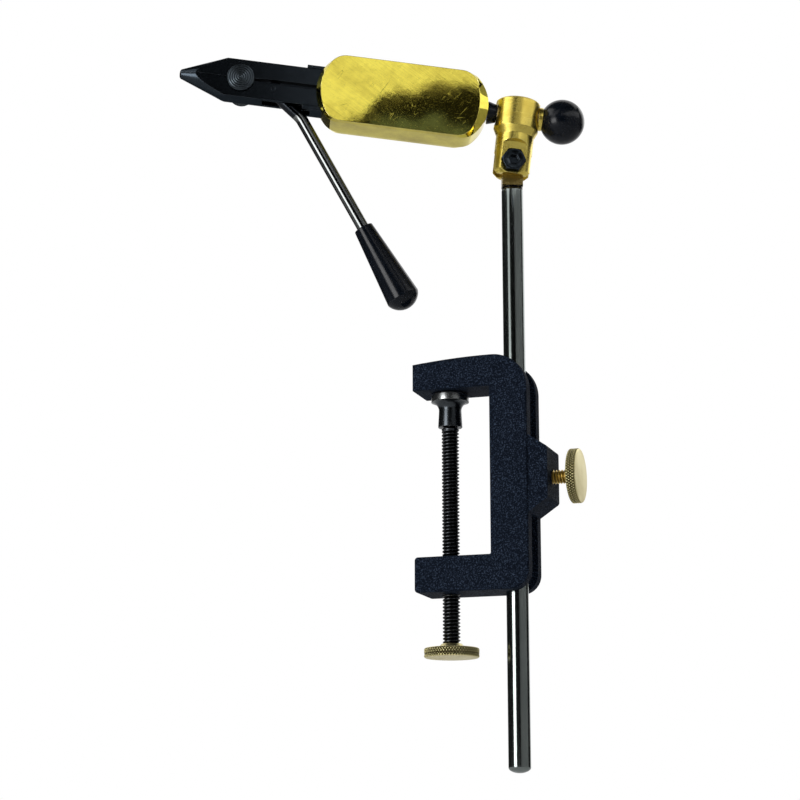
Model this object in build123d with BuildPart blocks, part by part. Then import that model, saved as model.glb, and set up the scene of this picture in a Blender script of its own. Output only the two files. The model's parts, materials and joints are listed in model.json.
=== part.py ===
from build123d import *
import os
from math import cos, hypot, radians, sin, sqrt

# A fly tying vise: split jaws with a cam lever, on a brass body that rolls and tilts on a post.
# The post slides in a cast C-clamp. Millimetres, +Z up along the post.
# The origin is the middle of the face that presses on the table, on the clamp screw's axis.

# Fits and gaps between pieces
running_fit = 0.05
press_fit = 0.01
face_gap = 0.15
loose_gap = 0.3
tiny = 0.01

# Clamp casting
clamp_width = 22.2
throat_height = 73.0
upper_arm_nose = 13.9
lower_arm_nose = 13.2
screw_to_post = 29.3
spine_front = 8.7
spine_back = 7.95
upper_arm_end = 11.6
upper_arm_root = 13.8
lower_arm_thickness = 15.3
top_corner_radius = 15.5
foot_corner_radius = 8.2
throat_corner_radius = 0.6
arm_corner_radius = 1.5
casting_edge_round = 0.9
boss_reach = 16.45
boss_height = 22.0
boss_flare = 5.8
boss_drop = 39.0
boss_wall_gap = 0.8

# Clamp screw, pad and wheel
clamp_screw_diameter = 7.6
clamp_screw_ball = 6.0
clamp_screw_neck = 4.4
pad_gap = 0.6
pad_diameter = 16.4
pad_rim = 3.3
pad_height = 14.6
pad_neck_diameter = 9.8
pad_foot_diameter = 10.6
pad_foot_rim = 1.2
pad_flare = 3.8
wheel_diameter = 23.6
wheel_thickness = 4.1
wheel_drop = 22.9
wheel_edge = 0.4
hub_height = 1.9
hub_base_diameter = 12.2
hub_top_diameter = 8.6
screw_tail_recess = 0.6

# Thumbscrew that locks the post
thumb_stem_diameter = 6.0
thumb_below_middle = 0.8
thumb_disc_diameter = 23.4
thumb_disc_thickness = 4.2
thumb_standoff = 7.95
thumb_spigot_depth = 3.0

# Post and the tongue on its top
post_diameter = 9.525
post_tail = 76.0
post_foot_round = 2.4
post_top_chamfer = 0.5
pivot_rise = 87.9
tongue_width = 9.2
tongue_thickness = 5.0
tongue_flange = 1.2
tongue_spigot_diameter = 5.6
tongue_spigot_length = 14.0

# Pose of the head as it stands
head_swivel = 21.2
head_tilt = 6.6

# Head
head_axis_rise = 23.1
head_upper_diameter = 19.8
head_lower_diameter = 16.8
head_top = 6.3
head_shoulder = 6.9
head_taper = 3.2
head_below_pivot = 5.4
head_top_chamfer = 0.7
head_foot_chamfer = 1.6
head_flat_reach = 6.5
head_arch_radius = 10.0
head_spot_reach = 9.2
head_spot_diameter = 11.6
fork_roof_gap = 0.5

# Pivot screw and nut
pivot_diameter = 5.0
pivot_hex = 9.5
pivot_head_height = 3.2
pivot_socket = 3.9
pivot_socket_depth = 2.0
pivot_nut_height = 3.6
pivot_tail = 0.8

# Spindle, its bush, the spacer and the ball
spindle_diameter = 6.35
spindle_in_body = 18.0
spindle_in_ball = 9.0
bush_wall = 1.4
spacer_length = 4.15
spacer_wide = 10.1
spacer_narrow = 8.0
ferrule_length = 1.9
ferrule_diameter = 10.3
ball_diameter = 20.0
ball_flat_diameter = 9.0

# Body
body_length = 76.5
body_height = 30.9
body_depth = 17.1
body_end_bulge = 8.3
body_corner_round = 8.0
body_front_bevel = 1.9
body_rear_bevel = 4.0
body_edge_bevel = 0.15
body_bevel_depth = 2.4
pocket_depth = 23.0

# Jaw holder
holder_thickness = 9.6
holder_reach = 5.2
holder_upper_cheek = 1.3
holder_lower_cheek = 2.0
holder_base = 9.0

# Jaws
jaw_thickness = 9.4
jaw_half_height = 8.65
jaw_reach = 61.1
jaw_nose_length = 20.6
jaw_tip_radius = 1.9
jaw_tip_round = 1.4
jaw_seam = 0.2
jaw_lower_relief = 0.9
tip_to_pin = 27.25
pin_to_cam = 14.85
spring_ahead_of_pin = 9.5

# Jaw pivot pin and adjusting knob
pin_diameter = 6.0
pin_head_diameter = 12.2
pin_head_thickness = 1.7
pin_thread_diameter = 4.0
knob_diameter = 11.6
knob_length = 12.0
knob_edge = 0.8
knob_floor = 2.0

# Cam and its pin
cam_drop = 3.2
cam_radius = 3.0
cam_throw = 1.2
cam_lead = 20.0
cam_width = 5.0
cam_gap = 0.12
cam_pin_diameter = 2.0

# Lever
lever_diameter = 5.4
lever_exit_angle = 37.0
lever_bend_angle = 17.5
lever_to_bend = 17.1
lever_bend_radius = 12.0
lever_to_grip = 57.6
lever_spigot_diameter = 2.4
lever_spigot_depth = 1.6
lever_slot_gap = 0.25
grip_length = 41.0
grip_neck_diameter = 8.6
grip_wide_diameter = 14.9
grip_dome = 5.0
grip_socket = 22.0

# Return spring
spring_wire = 0.5
spring_diameter = 3.0
spring_pocket_gap = 0.15
spring_pocket_depth = 2.6

# Dowel and set screws
dowel_diameter = 3.0
dowel_depth = 4.0
set_screw_diameter = 4.0
set_screw_socket = 2.0
set_screw_socket_depth = 1.5
set_screw_sink = 0.6

# Places worked out from the sizes above
post_x = screw_to_post
throat_x = post_x - spine_front
back_x = post_x + spine_back
boss_x = post_x + boss_reach
lower_arm_top = -throat_height
clamp_foot = lower_arm_top - lower_arm_thickness
boss_z = -boss_drop
thumb_z = boss_z - thumb_below_middle
pad_top = -pad_gap
pad_foot = pad_top - pad_height
wheel_top = clamp_foot - wheel_drop
wheel_foot = wheel_top - wheel_thickness
post_radius = post_diameter / 2
post_foot = clamp_foot - post_tail
pivot_z = upper_arm_root + pivot_rise
head_lower_radius = head_lower_diameter / 2
tongue_shoulder = hypot(head_lower_radius, head_below_pivot) + loose_gap
post_top = pivot_z - tongue_shoulder - tongue_flange

# The head group's own frames: swivel follows the post, tilt the head, roll the spindle
swivel = Location((post_x, 0, pivot_z), (0, 0, head_swivel))
tilt = swivel * Location((0, 0, 0), (0, head_tilt, 0))
roll = tilt * Location((0, 0, head_axis_rise))
deck = Plane(roll)
side = Plane(roll * Plane.XZ.location)
across = Plane(roll * Plane.YZ.location)
head_axis = Axis(deck.origin, deck.z_dir)
spindle_axis = Axis(deck.origin, deck.x_dir)

# Stations along the spindle, measured from the head's axis, jaws to the left
pivot_drop = -head_axis_rise
head_foot = pivot_drop - head_below_pivot
body_rear = -(head_spot_reach + face_gap + spacer_length)
body_front = body_rear - body_length
body_half_height = body_height / 2
body_half_depth = body_depth / 2
pocket_end = body_front + pocket_depth
holder_front = body_front - holder_reach
holder_throat = pocket_end - holder_base
jaw_tip = body_front - jaw_reach
jaw_tail = holder_throat - loose_gap
jaw_half_thickness = jaw_thickness / 2
nose_root = jaw_tip + jaw_nose_length
nose_root_radius = hypot(jaw_half_height, jaw_half_thickness)
pin_x = jaw_tip + tip_to_pin
pin_radius = pin_diameter / 2
cam_x = pin_x + pin_to_cam
cam_z = -cam_drop
spring_x = pin_x - spring_ahead_of_pin
holder_roof = jaw_half_height + face_gap
holder_top = holder_roof + holder_upper_cheek
holder_floor = -jaw_half_height
holder_bottom = holder_floor - holder_lower_cheek
cam_top = cam_z + cam_throw * cos(radians(cam_lead)) + cam_radius
upper_relief = cam_top + cam_gap
lever_slot_width = max(lever_diameter, cam_width) + 2 * lever_slot_gap


def polygon_face(plane, points):
    """Return the face inside straight lines through the points, on the plane."""
    with BuildSketch(plane) as outline:
        with BuildLine():
            Polyline(*points, close=True)
        make_face()
    return outline.sketch


def disc_face(plane, radius, x=0.0, y=0.0):
    """Return a round face on the plane, centred at x, y."""
    with BuildSketch(plane) as outline:
        with Locations((x, y)):
            Circle(radius)
    return outline.sketch


def block_face(plane, low, high):
    """Return the rectangle between two corners on the plane."""
    middle = ((low[0] + high[0]) / 2, (low[1] + high[1]) / 2)
    with BuildSketch(plane) as outline:
        with Locations(middle):
            Rectangle(high[0] - low[0], high[1] - low[1])
    return outline.sketch


def hex_face(plane, across_flats, x=0.0, y=0.0):
    """Return a hexagon face of the given width across its flats."""
    with BuildSketch(plane) as outline:
        with Locations((x, y)):
            RegularPolygon(across_flats / 2, 6, major_radius=False)
    return outline.sketch


# Clamp frame: a C-shaped casting with a channel for the post and a boss across the channel
with BuildPart() as clamp_frame:
    with BuildSketch(Plane.XZ):
        with BuildLine():
            nose_top = (-upper_arm_nose, upper_arm_end)
            crown = (back_x - top_corner_radius, upper_arm_root)
            Polyline((throat_x, 0), (-upper_arm_nose, 0), nose_top)
            TangentArc(crown, nose_top, tangent=(-1, 0))
            JernArc(crown, (1, 0), top_corner_radius, -90)
            heel = (back_x, clamp_foot + foot_corner_radius)
            Line((back_x, upper_arm_root - top_corner_radius), heel)
            JernArc(heel, (0, -1), foot_corner_radius, -90)
            foot = (back_x - foot_corner_radius, clamp_foot)
            low_end = (-lower_arm_nose, clamp_foot)
            low_top = (-lower_arm_nose, lower_arm_top)
            Polyline(foot, low_end, low_top, (throat_x, lower_arm_top), (throat_x, 0))
        make_face()
    extrude(amount=clamp_width / 2, both=True)
    cross_edges = clamp_frame.edges().filter_by(Axis.Y).sort_by(Axis.Z)
    throat_corners = cross_edges.filter_by_position(Axis.X, throat_x - tiny, throat_x + tiny)
    foot_corners = cross_edges.filter_by_position(Axis.X, -lower_arm_nose - tiny, -lower_arm_nose + tiny)
    fillet(throat_corners, radius=throat_corner_radius)
    fillet(foot_corners, radius=arm_corner_radius)
    fillet(clamp_frame.faces().filter_by(Axis.Y).edges(), radius=casting_edge_round)
    channel_radius = post_radius + running_fit
    with BuildSketch(Plane.XY.offset(clamp_foot)):
        with Locations((post_x, 0)):
            Circle(channel_radius)
            Rectangle(boss_reach, 2 * channel_radius, align=(Align.MIN, Align.CENTER))
    extrude(amount=upper_arm_root - clamp_foot, mode=Mode.SUBTRACT)
    boss_inner_x = post_x + post_radius + boss_wall_gap
    boss_half = boss_height / 2
    boss_foot_half = boss_half + boss_flare
    boss_outline = polygon_face(Plane.XZ, [
        (boss_inner_x, boss_z + boss_foot_half), (back_x, boss_z + boss_foot_half),
        (boss_x, boss_z + boss_half), (boss_x, boss_z - boss_half),
        (back_x, boss_z - boss_foot_half), (boss_inner_x, boss_z - boss_foot_half)])
    extrude(boss_outline, amount=clamp_width / 2 - casting_edge_round, both=True)
    boss_edges = clamp_frame.edges().filter_by(Axis.Y)
    boss_corners = boss_edges.filter_by_position(Axis.X, boss_x - tiny, boss_x + tiny)
    fillet(boss_corners, radius=arm_corner_radius)
    thumb_hole = disc_face(Plane.YZ.offset(boss_x), thumb_stem_diameter / 2 + running_fit, 0, thumb_z)
    extrude(thumb_hole, amount=-boss_reach, mode=Mode.SUBTRACT)
    screw_hole = disc_face(Plane.XY.offset(lower_arm_top), clamp_screw_diameter / 2 + running_fit)
    extrude(screw_hole, amount=-lower_arm_thickness, mode=Mode.SUBTRACT)
clamp_frame.part.label = "clamp_frame"

# Clamp pad: a swivelling foot with a waisted stem, hollowed for the screw's ball
ball_z = pad_top - pad_rim - clamp_screw_ball / 2
with BuildPart() as clamp_pad:
    with BuildSketch(Plane.XZ):
        with BuildLine():
            waist = (pad_neck_diameter / 2, pad_top - pad_rim - pad_flare)
            rim_foot = (pad_diameter / 2, pad_top - pad_rim)
            Polyline((0, pad_foot), (0, pad_top), (pad_diameter / 2, pad_top), rim_foot)
            TangentArc(waist, rim_foot, tangent=(0, 1))
            skirt = (pad_foot_diameter / 2, pad_foot + pad_foot_rim)
            Polyline(waist, skirt, (pad_foot_diameter / 2, pad_foot), (0, pad_foot))
        make_face()
    revolve(axis=Axis.Z)
    with Locations((0, 0, ball_z)):
        Sphere(clamp_screw_ball / 2 + running_fit, mode=Mode.SUBTRACT)
    neck_hole = disc_face(Plane.XY.offset(ball_z), clamp_screw_neck / 2 + running_fit)
    extrude(neck_hole, amount=pad_foot - ball_z, mode=Mode.SUBTRACT)
clamp_pad.part.label = "clamp_pad"

# Clamp screw: ball end in the pad, plain shank where the thread runs, spigot in the wheel
screw_foot = wheel_foot + screw_tail_recess
with BuildPart() as clamp_screw:
    with Locations((0, 0, ball_z)):
        Sphere(clamp_screw_ball / 2)
    extrude(disc_face(Plane.XY.offset(ball_z), clamp_screw_neck / 2), amount=pad_foot - face_gap - ball_z)
    shank = disc_face(Plane.XY.offset(pad_foot - face_gap), clamp_screw_diameter / 2)
    extrude(shank, amount=screw_foot - pad_foot + face_gap)
clamp_screw.part.label = "clamp_screw"

# Clamp wheel: a disc with a coned hub, on the foot of the screw
with BuildPart() as clamp_wheel:
    wheel_profile = polygon_face(Plane.XZ, [
        (0, wheel_foot), (wheel_diameter / 2 - wheel_edge, wheel_foot),
        (wheel_diameter / 2, wheel_foot + wheel_edge), (wheel_diameter / 2, wheel_top - wheel_edge),
        (wheel_diameter / 2 - wheel_edge, wheel_top), (hub_base_diameter / 2, wheel_top),
        (hub_top_diameter / 2, wheel_top + hub_height), (0, wheel_top + hub_height)])
    revolve(wheel_profile, axis=Axis.Z)
    wheel_bore = disc_face(Plane.XY.offset(screw_foot), clamp_screw_diameter / 2 + press_fit)
    extrude(wheel_bore, amount=wheel_thickness + hub_height, mode=Mode.SUBTRACT)
clamp_wheel.part.label = "clamp_wheel"

# Thumbscrew: a stem through the boss onto the post, with a disc to turn it by
thumb_tip_x = post_x + post_radius + face_gap
thumb_back_x = boss_x + thumb_standoff
thumb_face_x = thumb_back_x + thumb_disc_thickness
thumb_axis = Axis((0, 0, thumb_z), (1, 0, 0))
with BuildPart() as thumbscrew_stem:
    stem_outline = disc_face(Plane.YZ.offset(thumb_tip_x), thumb_stem_diameter / 2, 0, thumb_z)
    extrude(stem_outline, amount=thumb_back_x + thumb_spigot_depth - thumb_tip_x)
thumbscrew_stem.part.label = "thumbscrew_stem"

with BuildPart() as thumbscrew_disc:
    disc_radius = thumb_disc_diameter / 2
    disc_profile = polygon_face(Plane.XZ, [
        (thumb_back_x, thumb_z), (thumb_back_x, thumb_z + disc_radius - wheel_edge),
        (thumb_back_x + wheel_edge, thumb_z + disc_radius),
        (thumb_face_x - wheel_edge, thumb_z + disc_radius),
        (thumb_face_x, thumb_z + disc_radius - wheel_edge), (thumb_face_x, thumb_z)])
    revolve(disc_profile, axis=thumb_axis)
    disc_bore = disc_face(Plane.YZ.offset(thumb_back_x), thumb_stem_diameter / 2 + press_fit, 0, thumb_z)
    extrude(disc_bore, amount=thumb_spigot_depth, mode=Mode.SUBTRACT)
thumbscrew_disc.part.label = "thumbscrew_disc"

# Post: a round bar with a rounded foot and a socket for the tongue
with BuildPart() as post:
    extrude(disc_face(Plane.XY.offset(post_foot), post_radius, post_x), amount=post_top - post_foot)
    fillet(post.edges().sort_by(Axis.Z)[0], radius=post_foot_round)
    chamfer(post.edges().sort_by(Axis.Z)[-1], length=post_top_chamfer)
    socket = disc_face(Plane.XY.offset(post_top), tongue_spigot_diameter / 2 + press_fit, post_x)
    extrude(socket, amount=-tongue_spigot_length, mode=Mode.SUBTRACT)
post.part.label = "post"

# Pivot tongue: a round-topped plate on a flange, pressed into the post
post_face = Plane(swivel).offset(post_top - pivot_z)
tongue_plane = Plane(swivel * Plane.XZ.location)
with BuildPart() as pivot_tongue:
    extrude(disc_face(post_face, tongue_width / 2), amount=tongue_flange)
    with BuildSketch(tongue_plane):
        Circle(tongue_width / 2)
        Rectangle(tongue_width, tongue_shoulder, align=(Align.CENTER, Align.MAX))
    extrude(amount=tongue_thickness / 2, both=True)
    extrude(disc_face(post_face, tongue_spigot_diameter / 2), amount=-tongue_spigot_length)
    pivot_hole = disc_face(tongue_plane, pivot_diameter / 2 + running_fit)
    extrude(pivot_hole, amount=tongue_thickness, both=True, mode=Mode.SUBTRACT)
pivot_tongue.part.label = "pivot_tongue"

# Head: turned brass, forked below over the tongue, milled flat at the pivot, bored for the spindle
head_upper_radius = head_upper_diameter / 2
fork_roof = pivot_drop + tongue_width / 2 + fork_roof_gap
fork_width = tongue_thickness + 2 * running_fit
bush_radius = spindle_diameter / 2 + running_fit + bush_wall
with BuildPart() as head:
    head_profile = polygon_face(side, [
        (0, head_foot), (head_lower_radius - head_foot_chamfer, head_foot),
        (head_lower_radius, head_foot + head_foot_chamfer),
        (head_lower_radius, -head_shoulder - head_taper), (head_upper_radius, -head_shoulder),
        (head_upper_radius, head_top - head_top_chamfer), (head_upper_radius - head_top_chamfer, head_top),
        (0, head_top)])
    revolve(head_profile, axis=head_axis)
    fork_slot = block_face(across, (-fork_width / 2, head_foot), (fork_width / 2, fork_roof))
    extrude(fork_slot, amount=head_upper_diameter, both=True, mode=Mode.SUBTRACT)
    for cheek in (-1, 1):
        with BuildSketch(side.offset(-cheek * head_flat_reach)):
            with Locations((0, pivot_drop)):
                Circle(head_arch_radius)
                Rectangle(2 * head_arch_radius, head_upper_diameter, align=(Align.CENTER, Align.MAX))
        extrude(amount=-cheek * head_upper_radius, mode=Mode.SUBTRACT)
        spot = disc_face(across.offset(cheek * head_spot_reach), head_spot_diameter / 2)
        extrude(spot, amount=cheek * head_upper_radius, mode=Mode.SUBTRACT)
    cheek_hole = disc_face(side, pivot_diameter / 2 + running_fit, 0, pivot_drop)
    extrude(cheek_hole, amount=head_upper_radius, both=True, mode=Mode.SUBTRACT)
    bush_hole = disc_face(across, bush_radius + press_fit)
    extrude(bush_hole, amount=head_upper_radius, both=True, mode=Mode.SUBTRACT)
head.part.label = "head"

# Pivot screw: hexagon head with a socket, through the fork and the tongue
pivot_front = side.offset(head_flat_reach)
pivot_back = side.offset(-head_flat_reach)
pivot_shank_length = 2 * head_flat_reach + pivot_nut_height + pivot_tail
with BuildPart() as pivot_screw:
    extrude(hex_face(pivot_front, pivot_hex, 0, pivot_drop), amount=pivot_head_height)
    extrude(disc_face(pivot_front, pivot_diameter / 2, 0, pivot_drop), amount=-pivot_shank_length)
    drive = hex_face(pivot_front.offset(pivot_head_height), pivot_socket, 0, pivot_drop)
    extrude(drive, amount=-pivot_socket_depth, mode=Mode.SUBTRACT)
pivot_screw.part.label = "pivot_screw"

with BuildPart() as pivot_nut:
    extrude(hex_face(pivot_back, pivot_hex, 0, pivot_drop), amount=-pivot_nut_height)
    nut_bore = disc_face(pivot_back, pivot_diameter / 2 + press_fit, 0, pivot_drop)
    extrude(nut_bore, amount=-pivot_nut_height, mode=Mode.SUBTRACT)
pivot_nut.part.label = "pivot_nut"

# Spindle bush: lines the head's cross bore from spot face to spot face
with BuildPart() as spindle_bush:
    extrude(disc_face(across, bush_radius), amount=head_spot_reach, both=True)
    bush_bore = disc_face(across, spindle_diameter / 2 + running_fit)
    extrude(bush_bore, amount=head_spot_reach, both=True, mode=Mode.SUBTRACT)
spindle_bush.part.label = "spindle_bush"

# Spindle: from inside the body, through the spacer, head and ferrule, into the ball
ferrule_start = head_spot_reach + face_gap
ball_flat_x = ferrule_start + ferrule_length
spindle_start = body_rear - spindle_in_body
with BuildPart() as spindle:
    spindle_length = ball_flat_x + spindle_in_ball - spindle_start
    extrude(disc_face(across.offset(spindle_start), spindle_diameter / 2), amount=spindle_length)
spindle.part.label = "spindle"

with BuildPart() as cone_spacer:
    spacer_profile = polygon_face(side, [
        (body_rear, 0), (body_rear, spacer_wide / 2),
        (body_rear + spacer_length, spacer_narrow / 2), (body_rear + spacer_length, 0)])
    revolve(spacer_profile, axis=spindle_axis)
    spacer_bore = disc_face(across.offset(body_rear), spindle_diameter / 2 + press_fit)
    extrude(spacer_bore, amount=spacer_length, mode=Mode.SUBTRACT)
cone_spacer.part.label = "cone_spacer"

with BuildPart() as ball_ferrule:
    extrude(disc_face(across.offset(ferrule_start), ferrule_diameter / 2), amount=ferrule_length)
    ferrule_bore = disc_face(across.offset(ferrule_start), spindle_diameter / 2 + running_fit)
    extrude(ferrule_bore, amount=ferrule_length, mode=Mode.SUBTRACT)
ball_ferrule.part.label = "ball_ferrule"

# Ball knob: a ball cut flat where it meets the ferrule, screwed on the spindle's end
ball_radius = ball_diameter / 2
ball_x = ball_flat_x + sqrt(ball_radius**2 - (ball_flat_diameter / 2) ** 2)
with BuildPart() as ball_knob:
    with BuildSketch(side):
        with BuildLine():
            flat_rim = (ball_flat_x, ball_flat_diameter / 2)
            pole = (ball_x + ball_radius, 0)
            ThreePointArc(flat_rim, (ball_x, ball_radius), pole)
            Polyline(pole, (ball_flat_x, 0), flat_rim)
        make_face()
    revolve(axis=spindle_axis)
    ball_bore = disc_face(across.offset(ball_flat_x), spindle_diameter / 2 + running_fit)
    extrude(ball_bore, amount=spindle_in_ball + face_gap, mode=Mode.SUBTRACT)
ball_knob.part.label = "ball_knob"

# Body: a brass bar with arched ends, round corners and bevelled edges, pocketed for the jaw holder
straight_front = body_front + body_end_bulge
straight_rear = body_rear - body_end_bulge


def arched_bar_face(plane, edge_inset, front_inset, rear_inset):
    """Return the body's round-cornered side outline, drawn in along its long edges and at its crowns."""
    half = body_half_height - edge_inset
    with BuildSketch(plane) as outline:
        with BuildLine():
            Line((straight_front, half), (straight_rear, half))
            ThreePointArc((straight_rear, half), (body_rear - rear_inset, 0), (straight_rear, -half))
            Line((straight_rear, -half), (straight_front, -half))
            ThreePointArc((straight_front, -half), (body_front + front_inset, 0), (straight_front, half))
        make_face()
        fillet(outline.vertices(), radius=body_corner_round)
    return outline.sketch


with BuildPart() as body:
    core_half_depth = body_half_depth - body_bevel_depth
    extrude(arched_bar_face(side, 0, 0, 0), amount=core_half_depth, both=True)
    for cheek in (-1, 1):
        bevel_foot = arched_bar_face(side.offset(cheek * core_half_depth), 0, 0, 0)
        bevel_top = arched_bar_face(
            side.offset(cheek * body_half_depth), body_edge_bevel, body_front_bevel, body_rear_bevel)
        loft([bevel_foot, bevel_top], ruled=True)
    pocket_half = holder_thickness / 2 + press_fit
    pocket = block_face(
        across.offset(body_front),
        (-pocket_half, holder_bottom - press_fit), (pocket_half, holder_top + press_fit))
    extrude(pocket, amount=pocket_depth, mode=Mode.SUBTRACT)
    spindle_bore = disc_face(across.offset(body_rear), spindle_diameter / 2 + press_fit)
    extrude(spindle_bore, amount=-spindle_in_body, mode=Mode.SUBTRACT)
    holder_screw_x = pocket_end - holder_base / 2
    spindle_screw_x = body_rear - spindle_in_body / 2
    top_face = deck.offset(body_half_height)
    screw_hole_radius = set_screw_diameter / 2 + press_fit
    holder_screw_hole = disc_face(top_face, screw_hole_radius, holder_screw_x)
    extrude(holder_screw_hole, amount=holder_top - body_half_height, mode=Mode.SUBTRACT)
    spindle_screw_hole = disc_face(top_face, screw_hole_radius, spindle_screw_x)
    extrude(spindle_screw_hole, amount=-body_half_height, mode=Mode.SUBTRACT)
body.part.label = "body"


def set_screw(x, foot):
    """Return a headless screw in the body's top, standing on the height foot."""
    top = body_half_height - set_screw_sink
    with BuildPart() as screw:
        extrude(disc_face(deck.offset(foot), set_screw_diameter / 2, x), amount=top - foot)
        drive_face = hex_face(deck.offset(top), set_screw_socket, x)
        extrude(drive_face, amount=-set_screw_socket_depth, mode=Mode.SUBTRACT)
    return screw.part


holder_set_screw = set_screw(holder_screw_x, holder_top)
holder_set_screw.label = "holder_set_screw"
spindle_set_screw = set_screw(spindle_screw_x, spindle_diameter / 2)
spindle_set_screw.label = "spindle_set_screw"

# Jaw holder: a fork in the body's pocket whose cheeks take the jaws above and below
lever_slot_rear = cam_x + lever_to_bend
dowel_x = (body_front + jaw_tail) / 2
with BuildPart() as jaw_holder:
    holder_outline = polygon_face(side, [
        (pocket_end, holder_bottom), (holder_front, holder_bottom), (holder_front, holder_floor),
        (holder_throat, holder_floor), (holder_throat, holder_roof), (holder_front, holder_roof),
        (holder_front, holder_top), (pocket_end, holder_top)])
    extrude(holder_outline, amount=holder_thickness / 2, both=True)
    notch = block_face(
        deck.offset(holder_bottom),
        (holder_front, -lever_slot_width / 2), (lever_slot_rear, lever_slot_width / 2))
    extrude(notch, amount=holder_lower_cheek, mode=Mode.SUBTRACT)
    dowel_hole = disc_face(deck.offset(holder_bottom), dowel_diameter / 2 + press_fit, dowel_x)
    extrude(dowel_hole, amount=holder_lower_cheek, mode=Mode.SUBTRACT)
jaw_holder.part.label = "jaw_holder"

# Jaws: two halves of one bar, the nose turned to a cone about the spindle's axis
with BuildSketch(side) as nose_outline:
    with BuildLine():
        tip_corner = (jaw_tip, jaw_tip_radius)
        root_corner = (nose_root, nose_root_radius)
        tail_corner = (jaw_tail, nose_root_radius)
        Polyline((jaw_tip, 0), tip_corner, root_corner, tail_corner, (jaw_tail, 0), close=True)
    make_face()
    tip_vertex = nose_outline.vertices().sort_by_distance(tip_corner)[0]
    fillet(tip_vertex, radius=jaw_tip_round)
nose_profile = nose_outline.sketch
seam_half = jaw_seam / 2
spring_pocket_radius = spring_diameter / 2 + spring_wire / 2 + spring_pocket_gap
pin_groove = disc_face(side, pin_radius + running_fit, pin_x, 0)
spring_pocket = disc_face(deck, spring_pocket_radius, spring_x)
pin_rear = pin_x + pin_radius

with BuildPart() as upper_jaw:
    upper_outline = polygon_face(side, [
        (jaw_tip, seam_half), (pin_rear, seam_half), (cam_x - cam_radius, upper_relief),
        (jaw_tail, upper_relief), (jaw_tail, jaw_half_height), (jaw_tip, jaw_half_height)])
    extrude(upper_outline, amount=jaw_half_thickness, both=True)
    revolve(nose_profile, axis=spindle_axis, mode=Mode.INTERSECT)
    extrude(pin_groove, amount=jaw_thickness, both=True, mode=Mode.SUBTRACT)
    extrude(spring_pocket, amount=seam_half + spring_pocket_depth, mode=Mode.SUBTRACT)
upper_jaw.part.label = "upper_jaw"

with BuildPart() as lower_jaw:
    lower_outline = polygon_face(side, [
        (jaw_tip, -seam_half), (pin_rear, -seam_half), (cam_x - cam_radius, -jaw_lower_relief),
        (jaw_tail, -jaw_lower_relief), (jaw_tail, -jaw_half_height), (jaw_tip, -jaw_half_height)])
    extrude(lower_outline, amount=jaw_half_thickness, both=True)
    revolve(nose_profile, axis=spindle_axis, mode=Mode.INTERSECT)
    extrude(pin_groove, amount=jaw_thickness, both=True, mode=Mode.SUBTRACT)
    extrude(spring_pocket, amount=-(seam_half + spring_pocket_depth), mode=Mode.SUBTRACT)
    slot_front = cam_x - cam_radius - cam_throw - loose_gap
    slot_rear = cam_x + (jaw_half_height + lever_diameter) / sin(radians(lever_exit_angle))
    lever_slot = block_face(
        deck.offset(-jaw_half_height),
        (slot_front, -lever_slot_width / 2), (slot_rear, lever_slot_width / 2))
    extrude(lever_slot, amount=jaw_half_height, mode=Mode.SUBTRACT)
    cam_pin_hole = disc_face(side, cam_pin_diameter / 2 + press_fit, cam_x, cam_z)
    extrude(cam_pin_hole, amount=jaw_thickness, both=True, mode=Mode.SUBTRACT)
    jaw_dowel_hole = disc_face(deck.offset(holder_floor), dowel_diameter / 2 + press_fit, dowel_x)
    extrude(jaw_dowel_hole, amount=dowel_depth, mode=Mode.SUBTRACT)
lower_jaw.part.label = "lower_jaw"

with BuildPart() as jaw_dowel:
    dowel_foot = disc_face(deck.offset(holder_bottom), dowel_diameter / 2, dowel_x)
    extrude(dowel_foot, amount=holder_lower_cheek + dowel_depth)
jaw_dowel.part.label = "jaw_dowel"

# Jaw pivot pin: turned head on the near side, shank in the jaws' grooves, thread for the knob
near_face = side.offset(jaw_half_thickness + running_fit)
far_face = side.offset(-jaw_half_thickness - running_fit)
pin_thread_length = knob_length - knob_floor
with BuildPart() as jaw_pivot_pin:
    extrude(disc_face(near_face, pin_head_diameter / 2, pin_x), amount=pin_head_thickness)
    extrude(disc_face(near_face, pin_radius, pin_x), amount=-(jaw_thickness + 2 * running_fit))
    extrude(disc_face(far_face, pin_thread_diameter / 2, pin_x), amount=-pin_thread_length)
jaw_pivot_pin.part.label = "jaw_pivot_pin"

with BuildPart() as jaw_adjust_knob:
    extrude(disc_face(far_face, knob_diameter / 2, pin_x), amount=-knob_length)
    chamfer(jaw_adjust_knob.edges(), length=knob_edge)
    knob_bore = disc_face(far_face, pin_thread_diameter / 2 + press_fit, pin_x)
    extrude(knob_bore, amount=-pin_thread_length, mode=Mode.SUBTRACT)
jaw_adjust_knob.part.label = "jaw_adjust_knob"

# Cam: an eccentric barrel between the jaws' tails, drilled for its pin and the lever's spigot
lobe_angle = radians(90 - cam_lead)
lobe = (cam_x + cam_throw * cos(lobe_angle), cam_z + cam_throw * sin(lobe_angle))
exit_angle = radians(lever_exit_angle)
run_angle = radians(lever_exit_angle + lever_bend_angle)
exit_way = (cos(exit_angle), -sin(exit_angle))
run_way = (cos(run_angle), -sin(run_angle))
lever_shoulder = cam_radius + face_gap
lever_start = (cam_x + lever_shoulder * exit_way[0], cam_z + lever_shoulder * exit_way[1])
lever_bend = (cam_x + lever_to_bend * exit_way[0], cam_z + lever_to_bend * exit_way[1])
grip_start = (lever_bend[0] + lever_to_grip * run_way[0], lever_bend[1] + lever_to_grip * run_way[1])
lever_end = (grip_start[0] + grip_socket * run_way[0], grip_start[1] + grip_socket * run_way[1])
exit_normal = side.x_dir * exit_way[0] + side.y_dir * exit_way[1]
run_normal = side.x_dir * run_way[0] + side.y_dir * run_way[1]
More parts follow.
